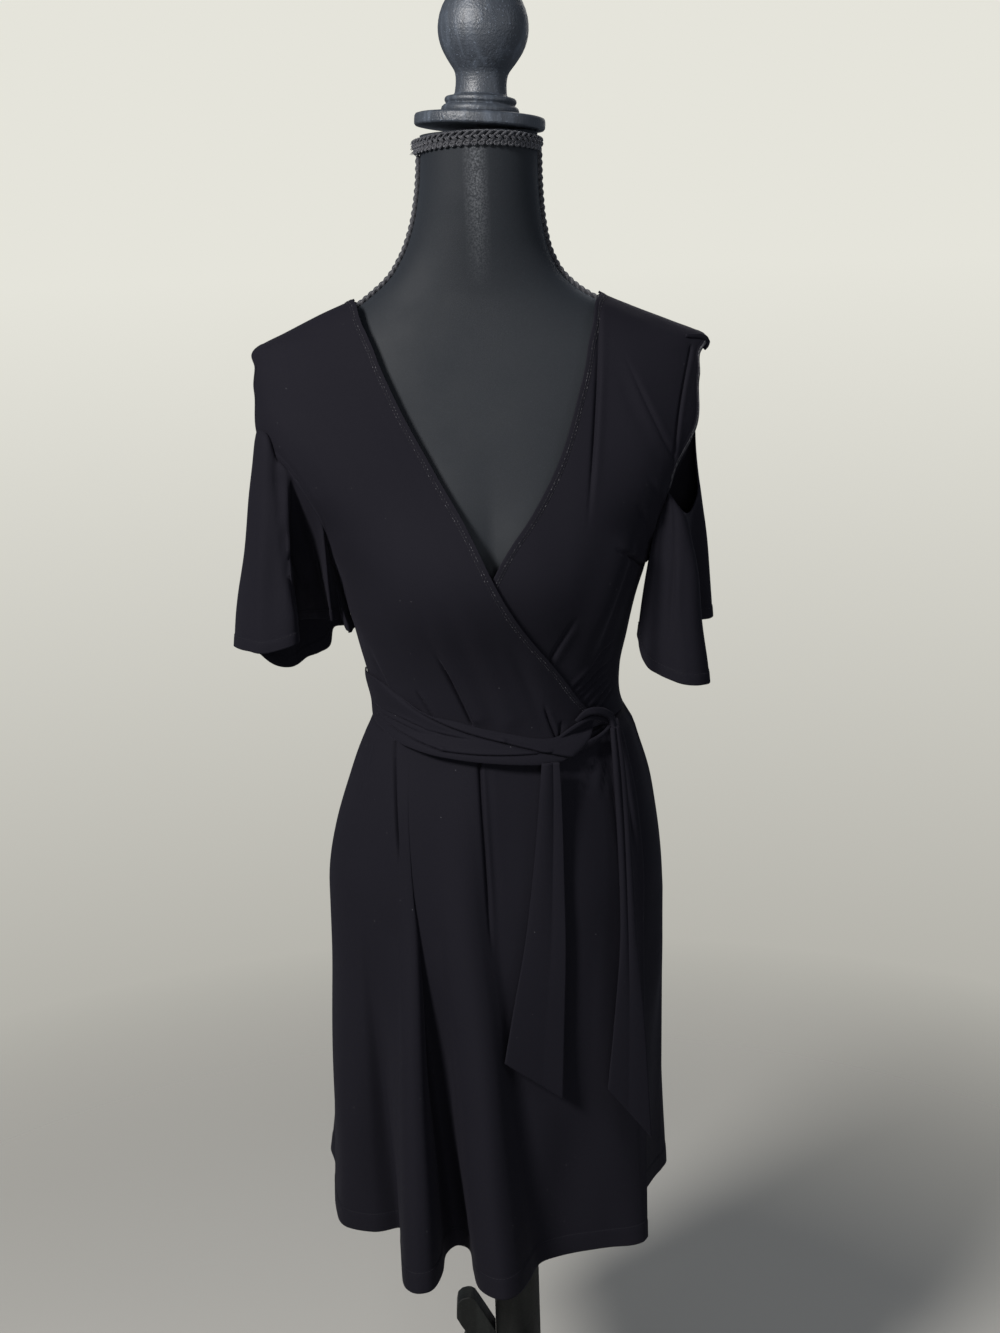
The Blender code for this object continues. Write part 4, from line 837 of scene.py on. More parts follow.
OVER_CREASES = (
    (-0.0770, 1.1150, -0.0255, 0.9930, -0.0020, 0.0085, 0.0010, 0.0022, 0.0, 1.0),
    (-0.0560, 1.0640, -0.0248, 0.9920, -0.0006, 0.0030, 0.0062, 0.0012, 0.0, 1.0),
    (-0.0500, 1.1180, 0.0000, 0.9900, -0.0030, 0.0110, 0.0008, 0.0020, 0.0, 1.0),
    (-0.1160, 1.0560, -0.0960, 1.0130, 0.0020, 0.0046, 0.0020, 0.0010, 0.1, 0.8),
    (-0.0750, 1.0240, -0.0600, 0.9950, 0.0006, 0.0028, 0.0042, 0.0009, 0.0, 1.0),
    (-0.1072, 1.0300, -0.0980, 1.0080, 0.0015, 0.0040, 0.0008, 0.0010, 0.2, 1.0),
    (0.0425, 1.0090, 0.0548, 0.9700, 0.0010, 0.0028, 0.0036, 0.0010, 0.0, 1.0),
    (0.0600, 0.9900, 0.0565, 0.9700, 0.0005, 0.0026, 0.0022, -0.0006, 0.0, 1.0),
    (0.0080, 1.0780, 0.0410, 0.9850, -0.0030, 0.0120, 0.0020, 0.0016, 0.0, 0.4),
    (-0.1900, 1.2420, -0.1500, 1.1760, 0.0040, 0.0070, 0.0014, 0.0016, 0.3, 0.0),
    (-0.1860, 1.2160, -0.1560, 1.1500, 0.0030, 0.0060, 0.0012, 0.0010, 0.4, 0.0),
    (-0.1420, 1.1150, -0.1200, 1.0450, 0.0060, 0.0140, 0.0010, 0.0012, 0.2, 0.2),
)
UNDER_CREASES = (
    (0.1902, 1.3249, 0.1692, 1.2035, 0.0037, 0.0030, 0.0030, 0.0006, 0.7, 0.6),
    (0.1060, 1.3640, 0.0872, 1.1650, -0.0010, 0.0042, 0.0034, 0.0010, 0.3, 0.0),
    (0.1280, 1.3200, 0.1700, 1.2300, 0.0015, 0.0034, 0.0018, 0.0006, 0.1, 0.8),
    (0.1160, 1.3240, 0.1560, 1.2300, 0.0020, 0.0130, 0.0010, 0.0012, 0.1, 0.3),
    (0.0790, 1.0930, 0.0480, 1.0420, 0.0015, 0.0046, 0.0028, 0.0010, 0.0, 0.9),
    (0.1340, 1.1930, 0.1490, 1.1480, -0.0020, 0.0055, 0.0014, 0.0012, 0.0, 1.0),
    (0.1440, 1.2150, 0.1600, 1.1800, -0.0020, 0.0050, 0.0012, 0.0010, 0.1, 0.8),
    (0.1170, 1.1470, 0.1450, 1.1240, -0.0020, 0.0046, 0.0056, 0.0020, 0.2, 1.0),
    (0.0650, 1.0080, 0.1190, 1.0580, -0.0010, 0.0030, 0.0042, 0.0016, 1.0, 0.0),
    (0.0700, 1.0045, 0.1150, 1.0370, -0.0010, 0.0028, 0.0040, 0.0014, 1.0, 0.0),
    (0.0760, 1.0025, 0.1110, 1.0260, -0.0008, 0.0026, 0.0036, 0.0012, 1.0, 0.0),
    (0.0834, 0.9975, 0.1110, 1.0185, -0.0006, 0.0026, 0.0036, 0.0012, 1.0, 0.0),
    (0.0900, 0.9920, 0.1130, 1.0115, -0.0004, 0.0026, 0.0032, 0.0012, 1.0, 0.0),
    (0.0980, 0.9880, 0.1150, 1.0050, -0.0004, 0.0026, 0.0028, 0.0010, 1.0, 0.0),
    (0.0940, 1.0300, 0.1350, 1.1400, 0.0000, 0.0150, 0.0050, 0.0060, 0.4, 0.8),
    (0.1120, 1.0400, 0.1430, 1.1260, 0.0000, 0.0140, 0.0026, 0.0000, 0.3, 0.8),
)
BACK_CREASES = (
    (-0.1150, 1.1050, -0.0700, 0.9850, 0.0030, 0.0110, 0.0008, 0.0014, 0.0, 0.8),
    (0.1120, 1.1100, 0.0640, 0.9850, -0.0030, 0.0110, 0.0008, 0.0014, 0.0, 0.8),
    (-0.0300, 1.0600, -0.0240, 0.9830, 0.0020, 0.0080, 0.0006, 0.0010, 0.0, 0.8),
    (0.0220, 1.0500, 0.0280, 0.9830, -0.0020, 0.0080, 0.0006, 0.0008, 0.0, 0.8),
    (-0.1650, 1.2500, -0.0900, 1.3200, 0.0060, 0.0120, 0.0005, 0.0010, 0.2, 0.0),
    (0.1500, 1.2400, 0.0850, 1.3150, -0.0060, 0.0120, 0.0005, 0.0010, 0.2, 0.0),
)


def waist_height(angle):
    """The waist seam runs level at the back and dips a little at the front."""
    return WAIST_Z - WAIST_DIP * np.clip(-np.sin(angle), 0.0, 1.0) ** 2


def front_angle(x, height):
    """Angle at which the garment's front has this sideways place."""
    guess = np.where(np.asarray(x) > 0, -0.5, -math.pi + 0.5)
    half, deep, power = section_sizes(GARMENT, guess, height)
    y = -deep * (1 - np.clip(np.abs(x) / half, 0.0, 0.999) ** power) ** (1 / power)
    return np.arctan2(y, x) + 2 * math.pi


def coons(bottom, top, left, right, u, v):
    """Patch between four edge lines of (angle, height) rows: the sum of both ruled surfaces
    less the bilinear one through the corners."""
    u, v = u[:, None, None], v[None, :, None]
    ruled = (1 - v) * bottom[:, None] + v * top[:, None] + (1 - u) * left[None] + u * right[None]
    corners = ((1 - u) * (1 - v) * bottom[0] + u * (1 - v) * bottom[-1]
               + (1 - u) * v * top[0] + u * v * top[-1])
    return ruled - corners


def edge_line(rows, waist_x, v, end_angle):
    """A wrap edge as (angle, height) rows, from the waist to the neck point."""
    edge = columns(EDGE, rows)
    waist_angle = front_angle(np.array([waist_x]), np.array([WAIST_Z]))
    angles = np.concatenate([waist_angle, front_angle(edge["x"], edge["height"]), [end_angle]])
    heights = np.concatenate([waist_height(waist_angle), edge["height"], [NECK_POINT_Z]])
    run = np.linspace(0, 1, len(heights))
    return np.stack([curve(v, run, angles), curve(v, run, heights)], axis=-1)


def side_line(v, side, face):
    """Side seam and armhole edge as (angle, height) rows; face is -1 for front, +1 for back."""
    hole = columns(ARMHOLE_COLUMNS, ARMHOLE)
    height = WAIST_Z + (SHOULDER_Z - WAIST_Z) * v
    swing = curve(height, hole["height"], hole[("front_" if face < 0 else "back_") + side])
    swing = np.where(height < UNDERARM_Z, 0.0, np.maximum(swing, 0.0)) + SEAM_SWING
    turn = np.radians(swing) * face
    if side == "left":
        return np.stack([math.pi - turn, height], axis=-1)
    return np.stack([(2 * math.pi if face < 0 else 0.0) + turn, height], axis=-1)


def seam_line(start, end, t):
    """Waist seam between two corners, as (angle, height) rows half a gap above the seam."""
    angle = start[0] + (end[0] - start[0]) * t
    return np.stack([angle, waist_height(angle) + WAIST_CLEAR], axis=-1)


def distances(grid):
    """How far each point is from the first and from the last column, along its row."""
    run = run_along(grid)
    return run, run[-1] - run


def turned_edge(distance, turn):
    """Share of full thickness over a turned edge, and the dip of its stitch line."""
    dip = 0.00035 * np.exp(-(((distance - turn) / 0.0009) ** 2))
    return ramp(turn + 0.0012 - distance, 0.0, 0.0012), dip


def above_underarm(height):
    """0 below the armhole and 1 from 20 mm above its lowest point."""
    return ramp(height, UNDERARM_Z + 0.012, UNDERARM_Z + 0.02)


def front_grid(edge_rows, waist_x, side, layer, rows, seed, crowd):
    """A bodice front from its side seam to its wrap edge: the garment surface moved out by the
    layer, by the creases and by the handle, all of which die away at the side seam."""
    t = 1 - (1 - np.linspace(0, 1, FRONT_GRID[0])) ** crowd
    v = np.linspace(0, 1, FRONT_GRID[1])
    seam = side_line(v, side, -1)
    edge = edge_line(edge_rows, waist_x, v, seam[-1, 0])
    seam[0, 1] += WAIST_CLEAR
    edge[0, 1] += WAIST_CLEAR
    top = seam[-1] * (1 - t[:, None]) + edge[-1] * t[:, None]
    plan = coons(seam_line(seam[0], edge[0], t), top, seam, edge, t, v)
    base = body_point(GARMENT, plan[..., 0], plan[..., 1], True)
    from_side, from_edge = distances(base)
    free = ramp(np.minimum(from_side, from_edge), 0.002, 0.014)
    base = drawn_in(base, rows, free * (ramp(v, 0.0, 0.02) * ramp(1 - v, 0.0, TOP_FADE))[None])
    from_side, from_edge = distances(base)
    calm = ramp(from_side, 0.0, 0.011)
    thick, dip = turned_edge(from_edge, HEM_TURN)
    arm_edge = above_underarm(base[..., 2])
    hole_thick, hole_dip = turned_edge(from_side, ARM_TURN)
    below_top = ramp(1 - v, 0.0, TOP_FADE)[None]
    out = layer * ramp(t, 0.0, 0.3)[:, None] * below_top - dip - hole_dip * arm_edge
    moved = creases(base[..., 0], base[..., 2], rows) + handle(base, 0.0004, seed)
    out = out + calm * below_top * moved
    return base + normals(base) * out[..., None], np.maximum(thick, hole_thick * arm_edge)


over_grid, over_thick = front_grid(
    OVER_EDGE, OVER_WAIST_X, "left", LAYER, OVER_CREASES, 11, 1.3)
under_grid, under_thick = front_grid(
    UNDER_EDGE, UNDER_WAIST_X, "right", UNDER_LAYER, UNDER_CREASES, 12, 0.9)
front_over = cloth_piece("bodice_over_front", over_grid, "bodice_front_over", thick=over_thick)
front_under = cloth_piece("bodice_under_front", under_grid, "bodice_front_under", thick=under_thick)


def back_grid():
    """The back between both side seams, from the waist to the shoulder seams and the nape."""
    t, v = np.linspace(0, 1, BACK_GRID[0]), np.linspace(0, 1, BACK_GRID[1])
    left, right = side_line(v, "left", 1), side_line(v, "right", 1)
    left[0, 1] += WAIST_CLEAR
    right[0, 1] += WAIST_CLEAR
    reach = np.array([0.0, SHOULDER_SHARE, 1 - SHOULDER_SHARE, 1.0])
    heights = np.interp(t, reach, [SHOULDER_Z, NECK_POINT_Z, NECK_POINT_Z, SHOULDER_Z])
    turns = np.interp(t, reach, [left[-1, 0], left[-1, 0], right[-1, 0], right[-1, 0]])
    across_neck = np.clip((t - SHOULDER_SHARE) / (1 - 2 * SHOULDER_SHARE), 0.0, 1.0)
    top = np.stack([turns, heights - NAPE_DIP * np.sin(math.pi * across_neck)], axis=-1)
    plan = coons(seam_line(left[0], right[0], t), top, left, right, t, v)
    base = body_point(GARMENT, plan[..., 0], plan[..., 1], True)
    from_left, from_right = distances(base)
    near = np.minimum(from_left, from_right)
    arm_edge = above_underarm(base[..., 2])
    thick, dip = turned_edge(near, ARM_TURN)
    out = creases(base[..., 0], base[..., 2], BACK_CREASES) + handle(base, 0.0005, 13)
    out = out * ramp(near, 0.0, 0.02) * ramp(1 - v, 0.0, TOP_FADE)[None] - dip * arm_edge
    return base + normals(base) * out[..., None], thick * arm_edge


back_points, back_thick = back_grid()
back = cloth_piece("bodice_back_panel", back_points, "bodice_back", thick=back_thick)


OVERLOCK = {"above": 1.20, "outer": 0.0004, "inner": 0.0038, "apart": 0.0019, "slip": 0.0009,
            "radius": 0.00036}
OVERLOCK_TAPER = np.array([0.5, 1.0, 1.0, 1.0, 0.5])


def overlock(name, grids):
    """Threads that wrap a raw edge above a height: slanted stitches 3.4 mm long and 1.9 mm apart
    over each grid's first column."""
    groups = []
    for grid in grids:
        outer, face = inset_line(grid, True, OVERLOCK["outer"])
        inner, _ = inset_line(grid, True, OVERLOCK["inner"])
        run = run_along(outer)
        lowest = np.interp(OVERLOCK["above"], outer[:, 2], run)
        s = np.linspace(0, 1, 5)[None]
        at = np.arange(lowest, run[-1] - 0.004, OVERLOCK["apart"])[:, None] + 0 * s
        path = (read_line(outer, run, at) * (1 - s[..., None])
                + read_line(inner, run, at + OVERLOCK["slip"]) * s[..., None]
                + read_line(face, run, at) * WALL * 1.05)
        groups.append(tubes(path, OVERLOCK["radius"], 5, OVERLOCK_TAPER))
    shown_as(many_tubes(name, groups, overlock_thread), "jersey")


CURL = ((350.0, 1.3372, 0.0005, 0.0030, 0.0026), (354.0, 1.3352, 0.0005, 0.0056, 0.0046),
        (356.0, 1.3300, 0.0005, 0.0068, 0.0052), (354.0, 1.3245, 0.0000, 0.0034, 0.0030))
overlock("armhole_overlock_front", [under_grid])
overlock("armhole_overlock_back", [back_points, back_points[::-1]])
wrap_rows = [inset_line(grid, False, inset) for grid in (over_grid, under_grid)
             for inset in (HEM_TURN, HEM_TURN - SECOND_ROW)]
stitches("bodice_topstitching", wrap_rows, edge_thread, WALL * 0.95)
curl = closed_piece("shoulder_curl", band_grid(CURL), jersey, "jersey")

# ==== Skirt ===============================================================================
# Three flared panels, gathered and pleated into the waist seam, that hang free below the hips:
# an over front with two deep soft pleats and a flat wrap panel, an under front, and a back.
HEM_Z, HIP_Z = 0.442, 0.780
FOLDS = ("waist_angle", "hem_x", "hem_y")
OVER_FOLDS = (
    (180.0, -0.1925, 0.0150), (191.0, -0.1865, -0.0300), (199.0, -0.1790, -0.0555),
    (205.0, -0.1640, -0.0675), (209.0, -0.1410, -0.0720), (212.0, -0.1170, -0.0650),
    (213.6, -0.1115, -0.0800), (215.0, -0.1120, -0.1230), (217.0, -0.1090, -0.1600),
    (219.0, -0.1005, -0.1750), (220.8, -0.0895, -0.1775), (222.2, -0.0795, -0.1700),
    (223.4, -0.0725, -0.1450), (224.6, -0.0690, -0.1150), (226.2, -0.0575, -0.0990),
    (228.2, -0.0440, -0.1080), (230.5, -0.0415, -0.1420), (234.0, -0.0360, -0.1710),
    (239.0, -0.0230, -0.1870), (244.0, -0.0100, -0.1910), (249.0, 0.0020, -0.1820),
    (254.0, 0.0120, -0.1610), (259.0, 0.0225, -0.1370), (266.0, 0.0400, -0.1250),
    (276.0, 0.0620, -0.1155), (292.0, 0.0900, -0.1120), (309.0, 0.1130, -0.1100),
    (325.0, 0.1260, -0.1050), (338.0, 0.1325, -0.0965),
)
UNDER_FOLDS = (
    (236.0, -0.0450, -0.0920), (258.0, -0.0100, -0.1050), (282.0, 0.0400, -0.1060),
    (302.0, 0.0780, -0.1030), (318.0, 0.1020, -0.0940), (331.0, 0.1190, -0.0680),
    (342.0, 0.1360, -0.0250), (351.0, 0.1490, 0.0040), (360.0, 0.1610, 0.0260),
)
BACK_FOLDS = (
    (0.0, 0.1610, 0.0260), (12.0, 0.1685, 0.0460), (26.0, 0.1630, 0.0760),
    (40.0, 0.1380, 0.1120), (54.0, 0.1060, 0.1450), (69.0, 0.0700, 0.1230),
    (85.0, 0.0220, 0.1680), (101.0, -0.0240, 0.1300), (117.0, -0.0780, 0.1610),
    (132.0, -0.1220, 0.1230), (147.0, -0.1760, 0.1300), (161.0, -0.2040, 0.1020),
    (171.0, -0.1980, 0.0620), (180.0, -0.1925, 0.0150),
)
SKIRT_CREASES = (
    (-0.0985, 0.9700, -0.0980, 0.8400, 0.0005, 0.0028, 0.0060, 0.0010, 1.0, 0.0),
    (-0.0186, 0.9600, -0.0120, 0.7600, 0.0005, 0.0034, 0.0048, 0.0020, 1.0, 0.0),
    (-0.0150, 0.9600, -0.0060, 0.7600, 0.0005, 0.0120, 0.0016, -0.0004, 1.0, 0.0),
    (-0.0170, 0.9500, 0.0050, 0.9400, 0.0010, 0.0030, 0.0008, 0.0006, 0.6, 0.0),
    (0.0560, 0.9350, 0.1040, 0.9545, 0.0030, 0.0042, 0.0034, 0.0030, 0.2, 1.0),
    (0.0730, 0.9120, 0.0900, 0.9440, 0.0010, 0.0038, 0.0030, 0.0016, 0.0, 1.0),
    (0.0945, 0.9080, 0.1020, 0.9430, 0.0010, 0.0036, 0.0024, 0.0014, 0.0, 1.0),
    (0.0680, 0.9000, 0.0780, 0.9220, 0.0010, 0.0036, 0.0010, 0.0008, 0.0, 0.3),
    (-0.1225, 0.9600, -0.1340, 0.9050, 0.0015, 0.0060, 0.0012, 0.0010, 1.0, 0.0),
    (0.1160, 0.9680, 0.1330, 0.8400, 0.0020, 0.0040, 0.0040, 0.0016, 1.0, 0.0),
    (0.1060, 0.9560, 0.1180, 0.8200, 0.0010, 0.0038, 0.0022, 0.0012, 1.0, 0.0),
    (0.0530, 0.8300, 0.0480, 0.5600, 0.0040, 0.0160, 0.0008, 0.0016, 0.0, 0.0),
    (0.0900, 0.8000, 0.0800, 0.5800, 0.0040, 0.0140, 0.0006, 0.0012, 0.0, 0.0),
)
SKIRT_HEM = 0.0200


def soft_greater(a, b, softness):
    """The greater of two lengths, rounded where they are alike."""
    return 0.5 * (a + b + np.sqrt((a - b) ** 2 + softness**2))


def denser_below(share, above, below):
    """Shares of the way down: even steps to the given share, and smaller ones over the hem."""
    upper = np.linspace(0, share, above, endpoint=False)
    return np.concatenate([upper, np.linspace(share, 1, below)])


def folded_hem(up_from_hem, depth, dip):
    """Share of full thickness over a folded hem, and the dip of its stitch line."""
    line = dip * np.exp(-(((up_from_hem - depth) / 0.0012) ** 2))
    return ramp(depth + 0.001 - up_from_hem, 0.0, 0.001), line


def skirt_grid(rows, across, ease, seed, start=0.0, end=1.0, folds=()):
    """Each line of cloth is ruled from the waist seam to the folded hem and pushed out where the
    hips fill it; from the hips it hangs straight to the hem. Then creases near the waist and the
    handle move it. Returns the points and the hem's share of thickness."""
    at = np.linspace(start, end, across)
    fold = read_rows(FOLDS, rows, at)
    waist_angle = np.radians(fold["waist_angle"])
    seam = waist_height(waist_angle)
    waist = body_point(GARMENT, waist_angle, seam, True)[:, None]
    hem_x, hem_y = fold["hem_x"][:, None], fold["hem_y"][:, None]
    fall = denser_below(0.948, 66, 20)[None]
    top = (seam - WAIST_CLEAR)[:, None]
    hip_fall = (top - HIP_Z) / (top - HEM_Z)

    def over_hips(share):
        """Direction and distance from the axis of the ruled line, kept outside the hips."""
        x = waist[..., 0] * (1 - share) + hem_x * share
        y = waist[..., 1] * (1 - share) + hem_y * share
        turn = np.arctan2(y, x)
        body = section_radius(GARMENT, turn, top + (HEM_Z - top) * share)
        return turn, soft_greater(np.hypot(x, y), body, 0.006 * ramp(share, 0.0, 0.15))

    height = top + (HEM_Z - top) * fall
    angle, close = over_hips(fall)
    hip = over_hips(hip_fall)[1]
    below = np.clip((fall - hip_fall) / (1 - hip_fall), 0.0, 1.0)
    hanging = hip * (1 - below) + np.hypot(hem_x, hem_y) * below
    out = np.where(below > 0, hanging, close) + ease * ramp(at, 0.0, 0.12)[:, None]
    base = np.stack([out * np.cos(angle), out * np.sin(angle), height], axis=-1)
    thick, dip = folded_hem(height - HEM_Z, SKIRT_HEM, 0.0004)
    from_first, from_last = distances(base)
    calm = ramp(np.minimum(from_first, from_last), 0.0, 0.010)
    moved = calm * (creases(base[..., 0], base[..., 2], folds) + handle(base, 0.0010, seed))
    return base + normals(base) * (moved - dip)[..., None], thick


def hem_line(grid, up):
    """The line on a skirt grid that runs a distance up from its hem."""
    points, face = inset_line(np.swapaxes(grid, 0, 1), False, up)
    outward = np.sign(np.sum(face * normals(grid)[:, -1], axis=-1, keepdims=True))
    return points, face * outward


over_skirt_grid, over_skirt_thick = skirt_grid(
    OVER_FOLDS, 300, LAYER, 21, start=0.0011, folds=SKIRT_CREASES)
under_skirt_grid, under_skirt_thick = skirt_grid(
    UNDER_FOLDS[::-1], 100, UNDER_LAYER, 22, start=0.0006)
back_skirt_grid, back_skirt_thick = skirt_grid(
    BACK_FOLDS, 200, 0.0, 23, start=0.0003, end=0.9989)
for name, node, grid, thick, wide, area in (
    ("over_front", "front_over", over_skirt_grid, over_skirt_thick, 0.62, 0.255),
    ("under_front", "front_under", under_skirt_grid, under_skirt_thick, 0.36, 0.152),
    ("back_panel", "back", back_skirt_grid, back_skirt_thick, 0.64, 0.263),
):
    panel = cloth_piece("skirt_" + name, grid, "skirt_" + node, thick=thick)
skirt_hems = [hem_line(grid, SKIRT_HEM)
              for grid in (over_skirt_grid, back_skirt_grid, under_skirt_grid)]
stitches("skirt_hem_stitching", skirt_hems, hem_thread, WALL * 0.9)

# ==== Sleeves =============================================================================
# Short flutter sleeves sewn to the lower part of each armhole only; the rest of their upper
# edge hangs free and open, so the shoulder is bare. The hems are turned up and stitched.
SLEEVE = ("ring", "hem_x", "hem_y", "hem_z")
LEFT_SLEEVE = (
    (0.00, -0.2080, -0.0775, 1.0610), (0.018, -0.1875, -0.0785, 1.0670),
    (0.036, -0.1855, -0.0610, 1.0680), (0.064, -0.1960, -0.0260, 1.0700),
    (0.11, -0.1990, 0.0060, 1.0700), (0.170, -0.1860, 0.0160, 1.0720),
    (0.22, -0.1690, -0.0060, 1.0760), (0.258, -0.1555, -0.0480, 1.0820),
    (0.29, -0.1480, -0.0280, 1.0800), (0.325, -0.1400, -0.0420, 1.0700),
    (0.37, -0.1385, -0.0250, 1.0680), (0.42, -0.1390, 0.0000, 1.0660),
    (0.46, -0.1500, 0.0150, 1.0640), (0.49, -0.1620, 0.0220, 1.0600),
    (0.52, -0.1660, 0.0280, 1.0420), (0.56, -0.1780, 0.0380, 1.0320),
    (0.61, -0.1930, 0.0470, 1.0250), (0.66, -0.2080, 0.0540, 1.0140),
    (0.72, -0.2270, 0.0500, 1.0180), (0.78, -0.2430, 0.0340, 1.0380),
    (0.84, -0.2520, 0.0100, 1.0520), (0.89, -0.2545, -0.0120, 1.0540),
    (0.925, -0.2490, -0.0400, 1.0580), (0.955, -0.2340, -0.0670, 1.0600),
)
RIGHT_SLEEVE = (
    (0.00, 0.1820, -0.0640, 1.0120), (0.035, 0.1680, -0.0620, 1.0160),
    (0.06, 0.1550, -0.0600, 1.0220), (0.08, 0.1445, -0.0620, 1.0300),
    (0.10, 0.1380, -0.0600, 1.0430), (0.118, 0.1360, -0.0580, 1.0590),
    (0.14, 0.1395, -0.0500, 1.0640), (0.17, 0.1450, -0.0360, 1.0650),
    (0.24, 0.1510, -0.0140, 1.0680), (0.42, 0.1565, 0.0080, 1.0670),
    (0.50, 0.1650, 0.0300, 1.0610), (0.58, 0.1840, 0.0500, 1.0560),
    (0.68, 0.2070, 0.0550, 1.0560), (0.76, 0.2190, 0.0320, 1.0600),
    (0.81, 0.2150, 0.0160, 1.0590), (0.86, 0.1910, 0.0100, 1.0540),
    (0.905, 0.1880, -0.0160, 1.0300), (0.94, 0.2045, -0.0460, 1.0110),
    (0.97, 0.1960, -0.0600, 1.0105),
)
FREE_EDGE = ("share", "x", "y", "z")
FREE_EDGES = {
    "left": ((0.25, -0.2200, 0.0300, 1.2240), (0.50, -0.2215, 0.0020, 1.2160),
             (0.76, -0.2165, -0.0280, 1.2440), (0.88, -0.2130, -0.0450, 1.2640),
             (0.95, -0.2020, -0.0580, 1.2600)),
    "right": ((0.25, 0.1995, 0.0080, 1.2200), (0.50, 0.1985, -0.0140, 1.1880),
              (0.72, 0.1880, -0.0350, 1.1730), (0.88, 0.1780, -0.0520, 1.1790)),
}
FRONT_NOTCH_Z = {"left": 1.240, "right": 1.196}
BACK_NOTCH_Z = {"left": 1.240, "right": 1.252}
ATTACHED = 0.66
SLEEVE_RISE = {"left": 0.70, "right": 1.15}
SLEEVE_LIFT, SLEEVE_LAP = 0.0009, 0.35
SLEEVE_HEM = 0.0110
SLEEVE_STEPS, FOLD_SPAN, FOLD_GROWTH = 204, 18, 0.55
SLEEVE_CREASES = {
    "left": (
        (-0.1960, 1.2260, -0.1770, 1.0700, 0.0030, 0.0040, 0.0050, 0.0016, 0.6, 0.4),
        (-0.1860, 1.2150, -0.1650, 1.0700, 0.0030, 0.0200, 0.0100, 0.0000, 0.3, 0.6),
        (-0.2230, 1.1700, -0.2290, 1.0700, 0.0020, 0.0160, 0.0016, 0.0016, 0.0, 0.8),
    ),
    "right": (
        (0.1720, 1.1760, 0.1660, 1.0600, -0.0010, 0.0050, 0.0020, 0.0014, 0.3, 0.2),
    ),
}


def armhole_point(side, face, height):
    """A point of the armhole's edge, a little outside it; face is -1 front, +1 back."""
    hole = columns(ARMHOLE_COLUMNS, ARMHOLE)
    swing = np.where(face < 0, curve(height, hole["height"], hole["front_" + side]),
                     curve(height, hole["height"], hole["back_" + side]))
    turn = np.radians(np.maximum(swing, 0.0) + SLEEVE_LAP) * face
    angle = math.pi - turn if side == "left" else turn
    point = body_point(GARMENT, angle, height, True)
    point[..., 0] += (-1.0 if side == "left" else 1.0) * SLEEVE_LIFT
    return point


def sleeve_top(side, ring):
    """Upper line of a sleeve: round the lower armhole, then the free edge that hangs open from
    the back notch to the front one."""
    share = np.clip(ring / ATTACHED, 0.0, 1.0)
    face = np.where(share < 0.5, -1.0, 1.0)
    rise = np.abs(2 * share - 1) ** SLEEVE_RISE[side]
    notch = np.where(face < 0, FRONT_NOTCH_Z[side], BACK_NOTCH_Z[side])
    sewn = armhole_point(side, face, UNDERARM_Z + (notch - UNDERARM_Z) * rise)
    start = armhole_point(side, np.array([1.0]), np.array([BACK_NOTCH_Z[side]]))
    end = armhole_point(side, np.array([-1.0]), np.array([FRONT_NOTCH_Z[side]]))
    loose = columns(FREE_EDGE, FREE_EDGES[side])
    knots = np.concatenate([[0.0], loose["share"], [1.0]])
    s = np.clip((ring - ATTACHED) / (1 - ATTACHED), 0.0, 1.0)
    free = [curve(s, knots, np.concatenate([start[:, k], loose[key], end[:, k]]))
            for k, key in enumerate(FREE_EDGE[1:])]
    return np.where((ring > ATTACHED)[:, None], np.stack(free, axis=-1), sewn)


def sleeve_grid(side, rows, seed):
    """Ruled from the upper line to the folded hem. What the hem's folds add to its running mean
    grows as the 0.55th power of the way down, so that they start near the seam."""
    hem = columns(SLEEVE, rows)
    ring = np.linspace(0, 1, SLEEVE_STEPS, endpoint=False)
    knots = np.concatenate([hem["ring"][-2:] - 1, hem["ring"], hem["ring"][:2] + 1])
    round_hem = [np.concatenate([hem[k][-2:], hem[k], hem[k][:2]]) for k in SLEEVE[1:]]
    low = np.stack([curve(ring, knots, values) for values in round_hem], axis=-1)
    high = sleeve_top(side, ring)
    t = denser_below(0.92, 30, 12)[None, :, None]
    shifts = range(-FOLD_SPAN, FOLD_SPAN + 1)
    mean = np.mean([np.roll(low, shift, axis=0) for shift in shifts], axis=0)
    base = high[:, None] * (1 - t) + mean[:, None] * t + (low - mean)[:, None] * t**FOLD_GROWTH
    thick, dip = folded_hem(np.linalg.norm(base - low[:, None], axis=-1), SLEEVE_HEM, 0.0003)
    along = np.roll(base, -1, axis=0) - np.roll(base, 1, axis=0)
    face = unit(np.cross(along, np.gradient(base, axis=1)))
    middle = base.mean(axis=(0, 1))
    face *= np.sign(np.sum(face * (base - middle), axis=-1).mean())
    front = ramp(-base[..., 1], 0.0, 0.025) * ramp(t[..., 0], 0.0, 0.12)
    move = handle(base, 0.0010, seed) * ramp(t[..., 0], 0.0, 0.3) - dip
    move = move + front * creases(base[..., 0], base[..., 2], SLEEVE_CREASES[side])
    return base + face * move[..., None], thick, face


sleeve_lines = []
for side, rows, seed in (("left", LEFT_SLEEVE, 31), ("right", RIGHT_SLEEVE, 32)):
    sleeve_points, sleeve_thick, sleeve_face = sleeve_grid(side, rows, seed)
    sleeve = cloth_piece("flutter_sleeve_" + side, sleeve_points, "sleeve_" + side, around=True,
                         thick=sleeve_thick)
    points, _ = inset_line(np.swapaxes(sleeve_points, 0, 1), False, SLEEVE_HEM)
    sleeve_lines.append((points, sleeve_face[:, -1]))
stitches("sleeve_hem_stitching", sleeve_lines, hem_thread, WALL * 0.9)

